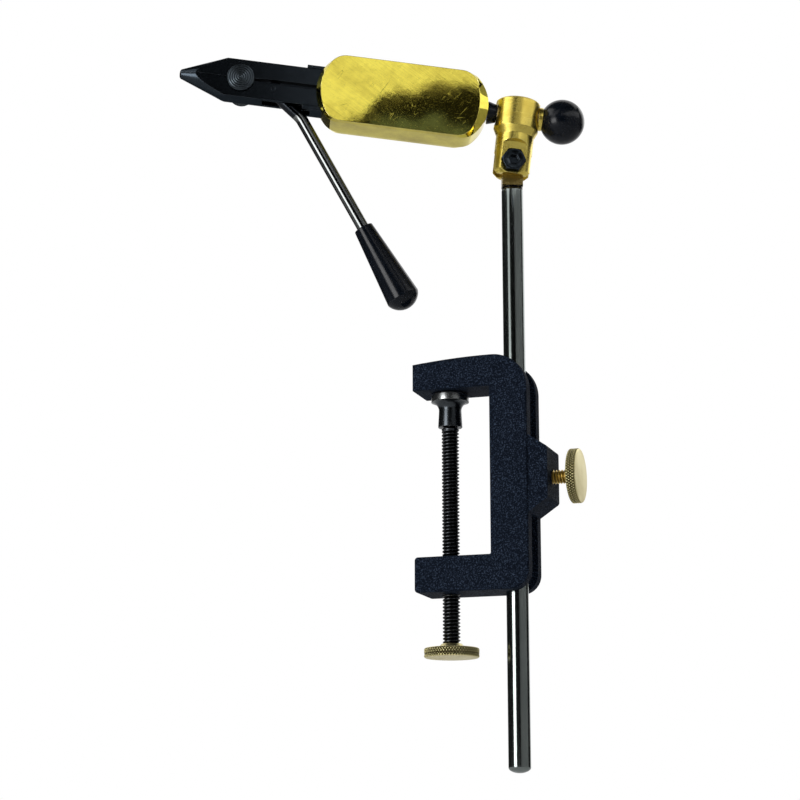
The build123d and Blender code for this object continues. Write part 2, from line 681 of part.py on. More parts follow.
lever_seat = Plane(side.from_local_coords(lever_start), x_dir=side.z_dir, z_dir=exit_normal)
grip_plane = Plane(side.from_local_coords(grip_start), x_dir=run_normal, z_dir=side.z_dir)
with BuildPart() as cam:
    extrude(disc_face(side, cam_radius, *lobe), amount=cam_width / 2, both=True)
    pin_bore = disc_face(side, cam_pin_diameter / 2 + running_fit, cam_x, cam_z)
    extrude(pin_bore, amount=cam_width, both=True, mode=Mode.SUBTRACT)
    spigot_bore = disc_face(lever_seat, lever_spigot_diameter / 2 + press_fit)
    extrude(spigot_bore, amount=-lever_spigot_depth, mode=Mode.SUBTRACT)
cam.part.label = "cam"

with BuildPart() as cam_pin:
    extrude(disc_face(side, cam_pin_diameter / 2, cam_x, cam_z), amount=jaw_half_thickness, both=True)
cam_pin.part.label = "cam_pin"

# Lever: a bent rod from the cam, out below the jaws, to a tapered grip
with BuildPart() as lever_rod:
    with BuildLine(side) as lever_path:
        FilletPolyline(lever_start, lever_bend, lever_end, radius=lever_bend_radius)
    sweep(disc_face(lever_seat, lever_diameter / 2), path=lever_path.line)
    extrude(disc_face(lever_seat, lever_spigot_diameter / 2), amount=-lever_spigot_depth)
lever_rod.part.label = "lever_rod"

grip_radius = grip_wide_diameter / 2
with BuildPart() as lever_grip:
    with BuildSketch(grip_plane):
        with BuildLine():
            dome_start = (grip_length - grip_dome, grip_radius)
            Polyline((grip_length, 0), (0, 0), (0, grip_neck_diameter / 2), dome_start)
            TangentArc((grip_length, 0), dome_start, tangent=(0, 1))
        make_face()
    revolve(axis=Axis(grip_plane.origin, run_normal))
    grip_mouth = Plane(grip_plane.origin, x_dir=side.z_dir, z_dir=run_normal)
    extrude(disc_face(grip_mouth, lever_diameter / 2 + press_fit), amount=grip_socket, mode=Mode.SUBTRACT)
lever_grip.part.label = "lever_grip"

# Return spring: stands in the pockets ahead of the pin and lifts the upper jaw
spring_foot = -(seam_half + spring_pocket_depth)
spring_length = 2 * (seam_half + spring_pocket_depth) - loose_gap
with BuildPart() as jaw_spring:
    spring_base = deck.offset(spring_foot)
    extrude(disc_face(spring_base, (spring_diameter + spring_wire) / 2, spring_x), amount=spring_length)
    spring_core = disc_face(spring_base, (spring_diameter - spring_wire) / 2, spring_x)
    extrude(spring_core, amount=spring_length, mode=Mode.SUBTRACT)
jaw_spring.part.label = "jaw_spring"

pieces = [
    clamp_frame.part, clamp_pad.part, clamp_screw.part, clamp_wheel.part, thumbscrew_stem.part,
    thumbscrew_disc.part, post.part, pivot_tongue.part, head.part, pivot_screw.part, pivot_nut.part,
    spindle_bush.part, spindle.part, cone_spacer.part, ball_ferrule.part, ball_knob.part, body.part,
    holder_set_screw, spindle_set_screw, jaw_holder.part, upper_jaw.part, lower_jaw.part, jaw_dowel.part,
    jaw_pivot_pin.part, jaw_adjust_knob.part, cam.part, cam_pin.part, lever_rod.part, lever_grip.part,
    jaw_spring.part,
]
os.makedirs("parts", exist_ok=True)
for piece in pieces:
    export_step(piece, f"parts/{piece.label}.step")
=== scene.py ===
"""Looks of a rotary fly tying vise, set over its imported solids.

Sizes are millimetres on a piece's own axes. Meshes are metres in the part's frame.
"""
import json
import logging
from collections.abc import Callable
from dataclasses import dataclass
from enum import Enum

import bpy
import numpy as np
from mathutils import Matrix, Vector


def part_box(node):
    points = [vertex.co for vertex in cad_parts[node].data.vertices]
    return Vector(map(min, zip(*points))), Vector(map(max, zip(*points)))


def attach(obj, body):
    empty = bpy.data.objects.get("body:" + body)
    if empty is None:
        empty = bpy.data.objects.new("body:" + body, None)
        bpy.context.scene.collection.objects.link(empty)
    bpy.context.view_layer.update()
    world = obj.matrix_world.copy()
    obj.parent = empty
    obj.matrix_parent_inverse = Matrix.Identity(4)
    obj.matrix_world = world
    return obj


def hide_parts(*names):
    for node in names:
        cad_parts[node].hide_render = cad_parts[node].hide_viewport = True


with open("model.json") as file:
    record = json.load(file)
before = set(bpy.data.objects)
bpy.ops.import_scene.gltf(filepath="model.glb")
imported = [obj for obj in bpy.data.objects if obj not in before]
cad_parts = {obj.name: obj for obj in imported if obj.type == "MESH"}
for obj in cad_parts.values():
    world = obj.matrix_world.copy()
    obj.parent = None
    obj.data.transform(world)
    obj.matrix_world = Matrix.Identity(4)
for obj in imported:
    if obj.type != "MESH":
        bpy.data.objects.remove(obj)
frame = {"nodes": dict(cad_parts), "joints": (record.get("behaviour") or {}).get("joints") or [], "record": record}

Array = np.ndarray
Colour = tuple[float, float, float]
Outline = Array | tuple[tuple[float, float], ...]
Relief = Callable[[Array, Array], Array]
Node = bpy.types.Node
Socket = bpy.types.NodeSocket
MM = 0.001
TURN = 2.0 * np.pi
# Edges that turn by more than this stay sharp.
SHARP = np.radians(34.0)
# Play between a bore and what sits in it.
FIT = 0.01
# Rings of points to one pitch of a coarse thread.
THREAD_ROWS = 14
# Points round a hexagon.
HEX_POINTS = 96
LOG = logging.getLogger("vise")
BODY_OF: dict[str, str] = {
    node: body for body, nodes in frame["record"]["behaviour"]["bodies"].items() for node in nodes
}


# Places to build in


@dataclass(frozen=True)
class Stand:
    """A right-handed place to build in: a point in metres and three unit axes, the third along the piece."""

    name: str
    origin: Array
    x: Array
    y: Array
    z: Array

    def basis(self) -> Array:
        """Return the axes as the columns of a matrix."""
        return np.column_stack((self.x, self.y, self.z))

    def place(self, points: Array) -> Array:
        """Return local millimetre points as metres in the part's frame."""
        return self.origin + MM * points @ self.basis().T

    def local(self, points: Array) -> Array:
        """Return points of the part's frame, in metres, as local millimetres."""
        return (points - self.origin) @ self.basis() / MM

    def span(self, node: str) -> tuple[Array, Array]:
        """Return a solid's lowest and highest corner on the stand's axes.

        Args:
            node: Name of the solid.

        Returns:
            The two corners in millimetres.
        """
        mesh = frame["nodes"][node].data
        flat = np.empty(3 * len(mesh.vertices))
        mesh.vertices.foreach_get("co", flat)
        points = self.local(flat.reshape(-1, 3))
        return points.min(axis=0), points.max(axis=0)

    def ends(self, node: str) -> tuple[float, float, float]:
        """Return a turned solid's lower end, upper end and outer radius."""
        low, high = self.span(node)
        return low[2], high[2], high[0]


def joint_place(name: str) -> tuple[Array, Array]:
    """Return the point in metres and the unit axis of a joint of the record."""
    found = next(joint for joint in frame["joints"] if joint["name"] == name)
    return np.array(found.get("pos_m", (0.0, 0.0, 0.0)), float), np.array(found["axis"], float)


class Layout:
    """The stands that the pieces are built in, taken from the solids' own joints."""

    def __init__(self) -> None:
        """Read the joints and set up one stand for each axis that pieces turn about."""
        east, north, up = np.eye(3)
        centre, along = joint_place("rotary_spin")
        pivot, across = joint_place("head_tilt")
        pin, _ = joint_place("jaw_adjust")
        thumb, _ = joint_place("thumbscrew_turn")
        low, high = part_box("post")
        post_foot = np.array(((low.x + high.x) / 2, (low.y + high.y) / 2, 0.0))
        rise = np.cross(along, across)
        self.clamp = Stand("clamp", np.zeros(3), east, north, up)
        self.post = Stand("post", post_foot, east, north, up)
        self.thumb = Stand("thumb", thumb * (0.0, 0.0, 1.0), north, up, east)
        self.deck = Stand("deck", centre, along, across, rise)
        self.spindle = Stand("spindle", centre, across, rise, along)
        self.pivot = Stand("pivot", pivot, along, rise, -across)
        self.pin = Stand("pin", pin, along, rise, -across)


LAYOUT = Layout()


# Profiles and skins


def soften(corners: Outline, radius: float, steps: int = 4, closed: bool = False) -> Array:
    """Round a profile's corners.

    Each corner gives way to a quadratic curve between two points set back from it by the radius,
    or by a little under half of the shorter side.

    Args:
        corners: Corner points, one row each.
        radius: Setback in millimetres.
        steps: Points on each corner's curve.
        closed: Whether the last point joins the first.

    Returns:
        The rounded profile.
    """
    points = np.asarray(corners, float)
    before = points - np.roll(points, 1, axis=0)
    after = np.roll(points, -1, axis=0) - points
    reach_before = np.linalg.norm(before, axis=1, keepdims=True)
    reach_after = np.linalg.norm(after, axis=1, keepdims=True)
    setback = np.minimum(radius, 0.48 * np.minimum(reach_before, reach_after))
    start = points - before * setback / np.maximum(reach_before, 1e-9)
    stop = points + after * setback / np.maximum(reach_after, 1e-9)
    t = np.linspace(0.0, 1.0, steps)[None, :, None]
    curves = (1 - t) ** 2 * start[:, None] + 2 * t * (1 - t) * points[:, None] + t**2 * stop[:, None]
    if closed:
        return curves.reshape(-1, 2)
    return np.vstack((points[:1], curves[1:-1].reshape(-1, 2), points[-1:]))


def arc(centre: tuple[float, float], radius: float, start: float, stop: float, steps: int) -> Array:
    """Return points of a circular arc in a profile.

    Args:
        centre: Centre as radius and height.
        radius: Radius of the arc.
        start: First angle in radians, from outwards towards up.
        stop: Last angle in radians.
        steps: Number of points.

    Returns:
        The points, one row each.
    """
    angle = np.linspace(start, stop, steps)
    return np.column_stack((centre[0] + radius * np.cos(angle), centre[1] + radius * np.sin(angle)))


def dome(height: float, radius: float, start: float, steps: int) -> Array:
    """Return the profile of a ball centred at a height, from an angle in radians up to its pole."""
    points = arc((0.0, height), radius, start, TURN / 4, steps)
    return np.vstack((points[:-1], (0.0, points[-1, 1])))


def straight(radius: float, heights: Array) -> Array:
    """Return the profile of a straight wall."""
    return np.column_stack((np.full_like(heights, radius), heights))


def ease(values: Array) -> Array:
    """Return the smooth step 3t² - 2t³ of values clipped to 0..1."""
    t = np.clip(values, 0.0, 1.0)
    return t * t * (3.0 - 2.0 * t)


def ridge(values: Array) -> Array:
    """Return a triangle wave: 0 at whole numbers, 1 halfway between them."""
    return 1.0 - np.abs(2.0 * np.mod(values, 1.0) - 1.0)


def thread(pitch: float, depth: float, low: float, high: float) -> Relief:
    """Make a right-hand screw thread.

    The depth at height h and angle a is the triangle wave of h / pitch - a / turn, made steeper and
    clipped to flat crests and roots, and faded in over one pitch at both ends.

    Args:
        pitch: Rise in one turn.
        depth: Depth of the groove.
        low: Height where the thread starts.
        high: Height where it ends.

    Returns:
        A function of heights and angles that gives the change in radius.
    """
    steepness, crest = 1.45, 0.28

    def relief(height: Array, angle: Array) -> Array:
        """Return the thread's cut at each height and angle."""
        groove = np.clip(steepness * ridge(height / pitch - angle / TURN) - crest, 0.0, 1.0)
        return -depth * groove * ease((height - low) / pitch) * ease((high - height) / pitch)

    return relief


def hexagon(apothem: float, angle: Array) -> Array:
    """Return the radius of a hexagon with a corner at angle 0: apothem / cos(a mod 60° - 30°)."""
    return apothem / np.cos(np.mod(angle, TURN / 6) - TURN / 12)


def angles(segments: int) -> Array:
    """Return evenly spaced angles round an axis."""
    return TURN * np.arange(segments) / segments


def rings(radii: Array, heights: Array) -> Array:
    """Return the grid of points (r cos a, r sin a, h), radii by ring and angle, heights by ring."""
    angle = angles(radii.shape[1])
    return np.stack((radii * np.cos(angle), radii * np.sin(angle), heights[:, None] + 0.0 * radii), axis=-1)


def turned(profile: Array, segments: int, relief: Relief | None = None, inner: float = 0.0) -> Array:
    """Turn a profile about the stand's third axis.

    A point at height h and angle a is (r cos a, r sin a, h), with r the profile's radius plus the relief.

    Args:
        profile: Radii and heights, outer wall running up, inner wall running down.
        segments: Steps round the axis.
        relief: Change in radius by height and angle, if any.
        inner: Radius up to which the surface stays plain.

    Returns:
        A grid of points, rows along the profile and columns round the axis.
    """
    radii = profile[:, :1] + np.zeros(segments)
    if relief is not None:
        radii = np.where(radii > inner, radii + relief(profile[:, 1:], angles(segments)), radii)
    return rings(radii, profile[:, 1])


def swept(centres: Array, sides: Array, ups: Array, radii: Array, segments: int) -> Array:
    """Carry a circle along a path.

    A point at step i and angle a is centre + r (cos a side + sin a up).

    Args:
        centres: Path points.
        sides: First unit axis of the circle at each point.
        ups: Second unit axis of the circle at each point.
        radii: Radius at each point, 0 at the two ends.
        segments: Steps round the circle.

    Returns:
        A grid of points, rows along the path and columns round it.
    """
    angle = angles(segments)[None, :, None]
    out = np.cos(angle) * sides[:, None] + np.sin(angle) * ups[:, None]
    return centres[:, None] + radii[:, None, None] * out


def skin(name: str, grid: Array, closed: bool = False) -> bpy.types.Object:
    """Make a mesh object from rings of points.

    Neighbouring rings are joined by four-sided faces. A closed skin joins its last ring to its first,
    and an open one ends in a pole at each end, which its first and last rings stand for.

    Args:
        name: Name of the object.
        grid: Points in metres, rows along the piece and columns round it.
        closed: Whether the rows go round, as in a piece with a through hole.

    Returns:
        The object, linked to the scene.
    """
    poles = np.empty((0, 3)) if closed else grid[[0, -1], 0]
    loops = grid if closed else grid[1:-1]
    rows, columns = loops.shape[:2]
    index = np.arange(rows * columns).reshape(rows, columns)
    lower = index if closed else index[:-1]
    upper = np.roll(index, -1, axis=0) if closed else index[1:]
    quads = np.stack((lower, np.roll(lower, -1, 1), np.roll(upper, -1, 1), upper), axis=-1)
    faces = quads.reshape(-1, 4).tolist()
    if not closed:
        foot = np.full(columns, rows * columns)
        faces += np.column_stack((foot, np.roll(index[0], -1), index[0])).tolist()
        faces += np.column_stack((foot + 1, index[-1], np.roll(index[-1], -1))).tolist()
    mesh = bpy.data.meshes.new(name)
    mesh.from_pydata(np.vstack((loops.reshape(-1, 3), poles)).tolist(), [], faces)
    mesh.shade_smooth()
    mesh.set_sharp_from_angle(angle=SHARP)
    thing = bpy.data.objects.new(name, mesh)
    bpy.context.scene.collection.objects.link(thing)
    return thing


# Shader building


class Board:
    """A node tree with short ways to add and join nodes."""

    def __init__(self, tree: bpy.types.NodeTree) -> None:
        """Keep the tree and empty it."""
        self.tree = tree
        tree.nodes.clear()

    def feed(self, socket: Socket, value: object) -> None:
        """Link a socket to another one, or set its number.

        Args:
            socket: The input to feed.
            value: A socket or a number.
        """
        if isinstance(value, Socket):
            self.tree.links.new(value, socket)
        else:
            socket.default_value = value

    def add(self, kind: str, inputs: dict | None = None, **settings: object) -> Node:
        """Add a node.

        Args:
            kind: Node type without the prefix that all shader nodes share.
            inputs: Values or sockets by input name or number.
            **settings: Properties of the node.

        Returns:
            The node.
        """
        node = self.tree.nodes.new("ShaderNode" + kind)
        for key, value in settings.items():
            setattr(node, key, value)
        for key, value in (inputs or {}).items():
            self.feed(node.inputs[key], value)
        return node

    def math(self, operation: str, *values: object) -> Socket:
        """Return the output of a maths node."""
        return self.add("Math", dict(enumerate(values)), operation=operation).outputs[0]

    def vector(self, operation: str, first: object, second: object) -> Socket:
        """Return the vector output of a vector maths node; a number stands for three like numbers."""
        return self.add("VectorMath", {0: first, 1: second}, operation=operation).outputs[0]

    def noise(self, place: object, scale: float, detail: float = 3.0, rough: float = 0.55) -> Socket:
        """Return the grey output of a noise texture read at a place."""
        inputs = {"Vector": place, "Scale": scale, "Detail": detail, "Roughness": rough}
        return self.add("TexNoise", inputs).outputs[0]

    def remap(self, value: object, low: float, high: float, start: float = 0.0, stop: float = 1.0) -> Socket:
        """Return a value mapped from low..high to start..stop and held there."""
        inputs = {"Value": value, "From Min": low, "From Max": high, "To Min": start, "To Max": stop}
        return self.add("MapRange", inputs, clamp=True).outputs[0]

    def blend(self, share: object, first: object, second: object) -> Socket:
        """Return the mix of two colours."""
        return self.add("Mix", {0: share, 6: first, 7: second}, data_type="RGBA").outputs[2]

    def effect(self, name: str, **inputs: object) -> bpy.types.NodeOutputs:
        """Place a shared node group, feed it and return its outputs."""
        return self.add("Group", inputs, node_tree=bpy.data.node_groups[name]).outputs

    def lean(self, place: Socket, angle: object) -> Socket:
        """Return a place turned about the second axis."""
        return self.add("VectorRotate", {"Vector": place, "Axis": (0.0, 1.0, 0.0), "Angle": angle}).outputs[0]

    def feed_shader(self, shader: Node, colour: Socket, rough: Socket, bump: dict, **plain: object) -> None:
        """Feed a shader.

        Args:
            shader: The shader.
            colour: Its colour.
            rough: Its roughness.
            bump: Inputs of the bump that bends its normal.
            **plain: Plain values of other inputs, with underscores for the spaces in their names.
        """
        normal = self.add("Bump", bump).outputs[0]
        for key, value in {"Base_Color": colour, "Roughness": rough, "Normal": normal, **plain}.items():
            self.feed(shader.inputs[key.replace("_", " ")], value)


def rgba(colour: Colour) -> tuple[float, float, float, float]:
    """Return a colour with full opacity."""
    return (*colour, 1.0)


class SharedEffects:
    """The node groups that several finishes use, each built once."""

    def __init__(self) -> None:
        """Build every group."""
        for build in (self.tool_marks, self.turning_rings, self.handling, self.rubbed_edges, self.cast_skin):
            build()

    def start(self, name: str, inputs: dict[str, str], outputs: tuple[str, ...],
              ) -> tuple[Board, bpy.types.NodeOutputs, bpy.types.NodeInputs]:
        """Open a new node group.

        Args:
            name: Name of the group.
            inputs: Socket kinds by input name.
            outputs: Names of the outputs, which are all numbers.

        Returns:
            The board, what the group is given and what it has to put out.
        """
        tree = bpy.data.node_groups.new(name, "ShaderNodeTree")
        for key, kind in inputs.items():
            tree.interface.new_socket(key, in_out="INPUT", socket_type="NodeSocket" + kind)
        for key in outputs:
            tree.interface.new_socket(key, in_out="OUTPUT", socket_type="NodeSocketFloat")
        board = Board(tree)
        source = tree.nodes.new("NodeGroupInput")
        return board, source.outputs, tree.nodes.new("NodeGroupOutput").inputs

    def tool_marks(self) -> None:
        """Fine straight lines: noise in a space turned about the second axis and stretched along them."""
        inputs = {"Place": "Vector", "Stretch": "Vector", "Slant": "Float"}
        board, given, sink = self.start("tool_marks", inputs, ("Marks",))
        place = board.vector("MULTIPLY", board.lean(given["Place"], given["Slant"]), given["Stretch"])
        board.feed(sink["Marks"], board.remap(board.noise(place, 1.0, 4.0, 0.7), 0.28, 0.72))

    def turning_rings(self) -> None:
        """Lathe lines: noise over the distance from the axis and the height along it, drifting a little."""
        board, given, sink = self.start("turning_rings", {"Place": "Vector", "Fineness": "Float"}, ("Rings",))
        x, y, z = board.add("SeparateXYZ", {0: given["Place"]}).outputs
        radius = board.math("SQRT", board.math("MULTIPLY_ADD", x, x, board.math("MULTIPLY", y, y)))
        place = board.add("CombineXYZ", {
            0: board.math("MULTIPLY", radius, given["Fineness"]),
            1: board.math("MULTIPLY", z, given["Fineness"]),
            2: board.math("MULTIPLY", x, 0.04)}).outputs[0]
        board.feed(sink["Rings"], board.remap(board.noise(place, 1.0, 3.0, 0.6), 0.3, 0.7))

    def handling(self) -> None:
        """Signs of use: soft smears, and thin broken scratches along the borders of long cells."""
        inputs = {"Place": "Vector", "Size": "Float"}
        board, given, sink = self.start("handling", inputs, ("Smears", "Scratches"))
        place = board.vector("DIVIDE", given["Place"], given["Size"])
        board.feed(sink["Smears"], board.remap(board.noise(place, 1.0, 5.0, 0.6), 0.42, 0.7))
        long = board.vector("MULTIPLY", board.lean(place, 0.9), (0.55, 2.2, 2.2))
        cells = board.add("TexVoronoi", {"Vector": long, "Scale": 1.6}, feature="DISTANCE_TO_EDGE")
        line = board.remap(cells.outputs[0], 0.0, 0.022, 1.0, 0.0)
        broken = board.remap(board.noise(place, 2.3, 2.0), 0.56, 0.66)
        board.feed(sink["Scratches"], board.math("MULTIPLY", line, broken))

    def rubbed_edges(self) -> None:
        """Edges: where a rounded normal leaves the flat one, broken up by noise."""
        board, given, sink = self.start("rubbed_edges", {"Rounded": "Vector", "Place": "Vector"}, ("Mask",))
        flat = board.add("NewGeometry").outputs["True Normal"]
        match = board.add("VectorMath", {0: given["Rounded"], 1: flat}, operation="DOT_PRODUCT")
        turn = board.remap(match.outputs["Value"], 0.995, 0.93)
        patchy = board.remap(board.noise(given["Place"], 0.9, 4.0), 0.32, 0.62)
        board.feed(sink["Mask"], board.math("MULTIPLY", turn, patchy))

    def cast_skin(self) -> None:
        """Crinkled coating: fine and broad noise for the height, and the tops of another as specks."""
        inputs = {"Place": "Vector", "Grain": "Float"}
        board, given, sink = self.start("cast_skin", inputs, ("Height", "Specks"))
        place = board.vector("DIVIDE", given["Place"], given["Grain"])
        broad = board.noise(place, 0.22, 2.0, 0.5)
        fine = board.noise(place, 1.0, 2.5, 0.6)
        board.feed(sink["Height"], board.math("MULTIPLY_ADD", broad, 0.5, fine))
        board.feed(sink["Specks"], board.remap(board.noise(place, 1.15, 3.0, 0.7), 0.50, 0.68))


# Finishes


class Lay(Enum):
    """Which way a metal's tool marks run: how their space is stretched, and its slant in radians."""

    ALONG = ((0.03, 5.0, 5.0), 0.0)
    UPRIGHT = ((5.0, 5.0, 0.03), 0.0)
    SLANTED = ((0.05, 1.9, 1.9), -0.55)
    AROUND = ((0.0, 0.0, 0.0), 0.0)


class Finish:
    """What every finish shares: one material for each stand, its pattern in millimetres on the stand."""

    name: str
    edge_round: float

    def build(self, board: Board, shader: Node, place: Socket) -> None:
        """Feed the shader; each kind of finish does this its own way."""
        raise NotImplementedError

    def edges(self, board: Board, place: Socket) -> tuple[Socket, Socket]:
        """Return the normal with rounded edges, and the mask of the rubbed ones."""
        rounded = board.add("Bevel", {"Radius": self.edge_round * MM}, samples=6).outputs[0]
        return rounded, board.effect("rubbed_edges", Rounded=rounded, Place=place)["Mask"]

    def material(self, stand: Stand) -> bpy.types.Material:
        """Return the finish's material on a stand, built the first time it is asked for.

        Args:
            stand: Place that the pattern is measured on.

        Returns:
            The material.
        """
        name = f"{self.name}_{stand.name}"
        if name in bpy.data.materials:
            return bpy.data.materials[name]
        material = bpy.data.materials.new(name)
        material.use_nodes = True
        board = Board(material.node_tree)
        shader = board.add("BsdfPrincipled")
        board.add("OutputMaterial", {"Surface": shader.outputs[0]})
        place = board.add("Mapping", {
            "Vector": board.add("TexCoord").outputs["Object"], "Location": tuple(stand.origin),
            "Rotation": Matrix(stand.basis().tolist()).to_euler(), "Scale": (MM, MM, MM),
        }, vector_type="TEXTURE")
        self.build(board, shader, place.outputs[0])
        return material


@dataclass(frozen=True)
class Metal(Finish):
    """A bare or blackened metal with tool marks, smears, scratches, painted shade in its grooves and rubbed edges.

    Depths are in millimetres: marks is the depth of the tool marks, mottle that of a slow unevenness in
    the polish. Hairline is what a second, finer set of scratches adds to the roughness.
    """

    name: str
    bright: Colour
    dull: Colour
    rubbed: Colour
    roughness: float
    spread: float
    lay: Lay = Lay.AROUND
    marks: float = 0.0008
    scratched: float = 0.08
    smear_size: float = 9.0
    edge_round: float = 0.2
    # How strongly the grooves get painted shade.
    groove_shade_strength: float = 0.8
    glancing: float = 1.0
    mottle: float = 0.0
    hairline: float = 0.0

    def build(self, board: Board, shader: Node, place: Socket) -> None:
        """Build the metal: marks and smears move its colour and roughness, scratches dull it, and grooves get
        painted shade and more roughness.

        Args:
            board: The material's nodes.
            shader: The shader to feed.
            place: Place in millimetres on the stand's axes.
        """
        if self.lay is Lay.AROUND:
            lines = board.effect("turning_rings", Place=place, Fineness=4.0)["Rings"]
        else:
            stretch, slant = self.lay.value
            lines = board.effect("tool_marks", Place=place, Stretch=stretch, Slant=slant)["Marks"]
        use = board.effect("handling", Place=place, Size=self.smear_size)
        tone = board.math("MULTIPLY_ADD", lines, 0.35, board.math("MULTIPLY", use["Smears"], 0.65))
        rounded, edge = self.edges(board, place)
        colour = self.paint_shade(board, place, board.blend(tone, rgba(self.bright), rgba(self.dull)))
        colour = board.blend(edge, colour, rgba(self.rubbed))
        # Painted shade: the deeper a point lies in a groove, the darker its colour, and the rougher.
        groove = board.add("Attribute", attribute_name="cut").outputs["Fac"]
        groove_shade_mask = board.math("MULTIPLY", board.remap(groove, 0.1, 0.55), self.groove_shade_strength)
        rough = board.math("MULTIPLY_ADD", tone, self.spread, self.roughness)
        rough = board.math("MULTIPLY_ADD", use["Scratches"], self.scratched, rough)
        rough = board.math("MULTIPLY_ADD", groove_shade_mask, 0.2, rough)
        height = board.math("SUBTRACT", lines, use["Scratches"])
        if self.hairline:
            fine = board.effect("handling", Place=place, Size=self.smear_size / 10.0)["Scratches"]
            rough = board.math("MULTIPLY_ADD", fine, self.hairline, rough)
        if self.mottle:
            slow = board.noise(place, 0.5, 2.5)
            height = board.math("MULTIPLY_ADD", slow, self.mottle / self.marks, height)
        bump = {"Strength": 1.0, "Distance": self.marks * MM, "Height": height, "Normal": rounded}
        board.feed_shader(shader, board.blend(groove_shade_mask, colour, rgba(self.deep())), rough, bump,
                     Metallic=1.0, Specular_Tint=rgba((self.glancing,) * 3))

    def deep(self) -> Colour:
        """Return the painted shade colour for a groove: a browner twentieth of the dull colour."""
        red, green, blue = self.dull
        return (0.05 * red, 0.045 * green, 0.03 * blue)

    def paint_shade(self, board: Board, place: Socket, colour: Socket) -> Socket:
        """Return the colour with any painted shade laid over it; a plain metal has none."""
        return colour


@dataclass(frozen=True)
class PaintedShadeFoot(Metal):
    """A metal darkened with painted shade below a level on its stand's third axis, with a border that wanders."""

    level: float = 0.0
    # Colour of the painted shade.
    black: Colour = (0.006, 0.006, 0.007)
    wander: float = 0.8
    blur: float = 0.15

    def paint_shade(self, board: Board, place: Socket, colour: Socket) -> Socket:
        """Paint shade over the foot, up to a border moved by noise.

        Args:
            board: The material's nodes.
            place: Place in millimetres on the stand's axes.
            colour: The clean metal's colour.

        Returns:
            The colour with the painted shade.
        """
        height = board.add("SeparateXYZ", {0: place}).outputs[2]
        moved = board.noise(place, 1.2, 3.0)
        border = board.math("MULTIPLY_ADD", moved, self.wander, self.level - self.wander / 2)
        share = board.remap(board.math("SUBTRACT", height, border), -self.blur, self.blur, 1.0, 0.0)
        return board.blend(share, colour, rgba(self.black))


@dataclass(frozen=True)
class CrinkleCoat(Finish):
    """The casting's black crinkled coating, with paler specks painted in as glints, and rubbed corners."""

    name: str = "crinkle_coat"
    body: Colour = (0.0040, 0.0068, 0.0135)
    speck_glint: Colour = (0.044, 0.064, 0.105)
    rubbed: Colour = (0.016, 0.022, 0.034)
    grain: float = 0.68
    depth: float = 0.12
    smear_size: float = 26.0
    edge_round: float = 0.5

    def build(self, board: Board, shader: Node, place: Socket) -> None:
        """Build the coating: the skin's tops are paler, as painted glints, and glossier, and its height makes the
        bump.

        Args:
            board: The material's nodes.
            shader: The shader to feed.
            place: Place in millimetres on the stand's axes.
        """
        grains = board.effect("cast_skin", Place=place, Grain=self.grain)
        smears = board.effect("handling", Place=place, Size=self.smear_size)["Smears"]
        rounded, edge = self.edges(board, place)
        # Paler specks: painted glints, which are also a little glossier.
        colour = board.blend(grains["Specks"], rgba(self.body), rgba(self.speck_glint))
        colour = board.blend(board.math("MULTIPLY", edge, 0.5), colour, rgba(self.rubbed))
        rough = board.math("MULTIPLY_ADD", grains["Specks"], -0.16, board.remap(smears, 0.0, 1.0, 0.66, 0.76))
        bump = {"Strength": 0.6, "Distance": self.depth * MM, "Height": grains["Height"], "Normal": rounded}
        board.feed_shader(shader, colour, rough, bump, Specular_IOR_Level=0.025)


@dataclass(frozen=True)
class Moulding(Finish):
    """Gloss black plastic with faint moulding ripple, finger smears and hair scratches."""

    name: str = "black_moulding"
    body: Colour = (0.0030, 0.0046, 0.0078)
    dusty: Colour = (0.008, 0.010, 0.014)
    roughness: float = 0.17
    ripple: float = 0.01
    smear_size: float = 9.0
    dust_size: float = 0.5

    def build(self, board: Board, shader: Node, place: Socket) -> None:
        """Build the plastic: smears and scratches raise its roughness, a slow ripple bends its gloss.

        Args:
            board: The material's nodes.
            shader: The shader to feed.
            place: Place in millimetres on the stand's axes.
        """
        use = board.effect("handling", Place=place, Size=self.smear_size)
        specks = board.effect("cast_skin", Place=place, Grain=self.dust_size)
        dust = board.math("MULTIPLY", board.remap(specks["Specks"], 0.75, 1.0), 0.5)
        shade = board.math("MULTIPLY_ADD", use["Smears"], 0.3, dust)
        rough = board.math("MULTIPLY_ADD", use["Smears"], 0.08, self.roughness)
        rough = board.math("MULTIPLY_ADD", use["Scratches"], 0.2, rough)
        height = board.math("MULTIPLY_ADD", specks["Height"], 0.006, board.noise(place, 0.16, 1.0))
        bump = {"Strength": 1.0, "Distance": self.ripple * MM, "Height": height}
        board.feed_shader(shader, board.blend(shade, rgba(self.body), rgba(self.dusty)), rough, bump,
                     Specular_IOR_Level=0.2)


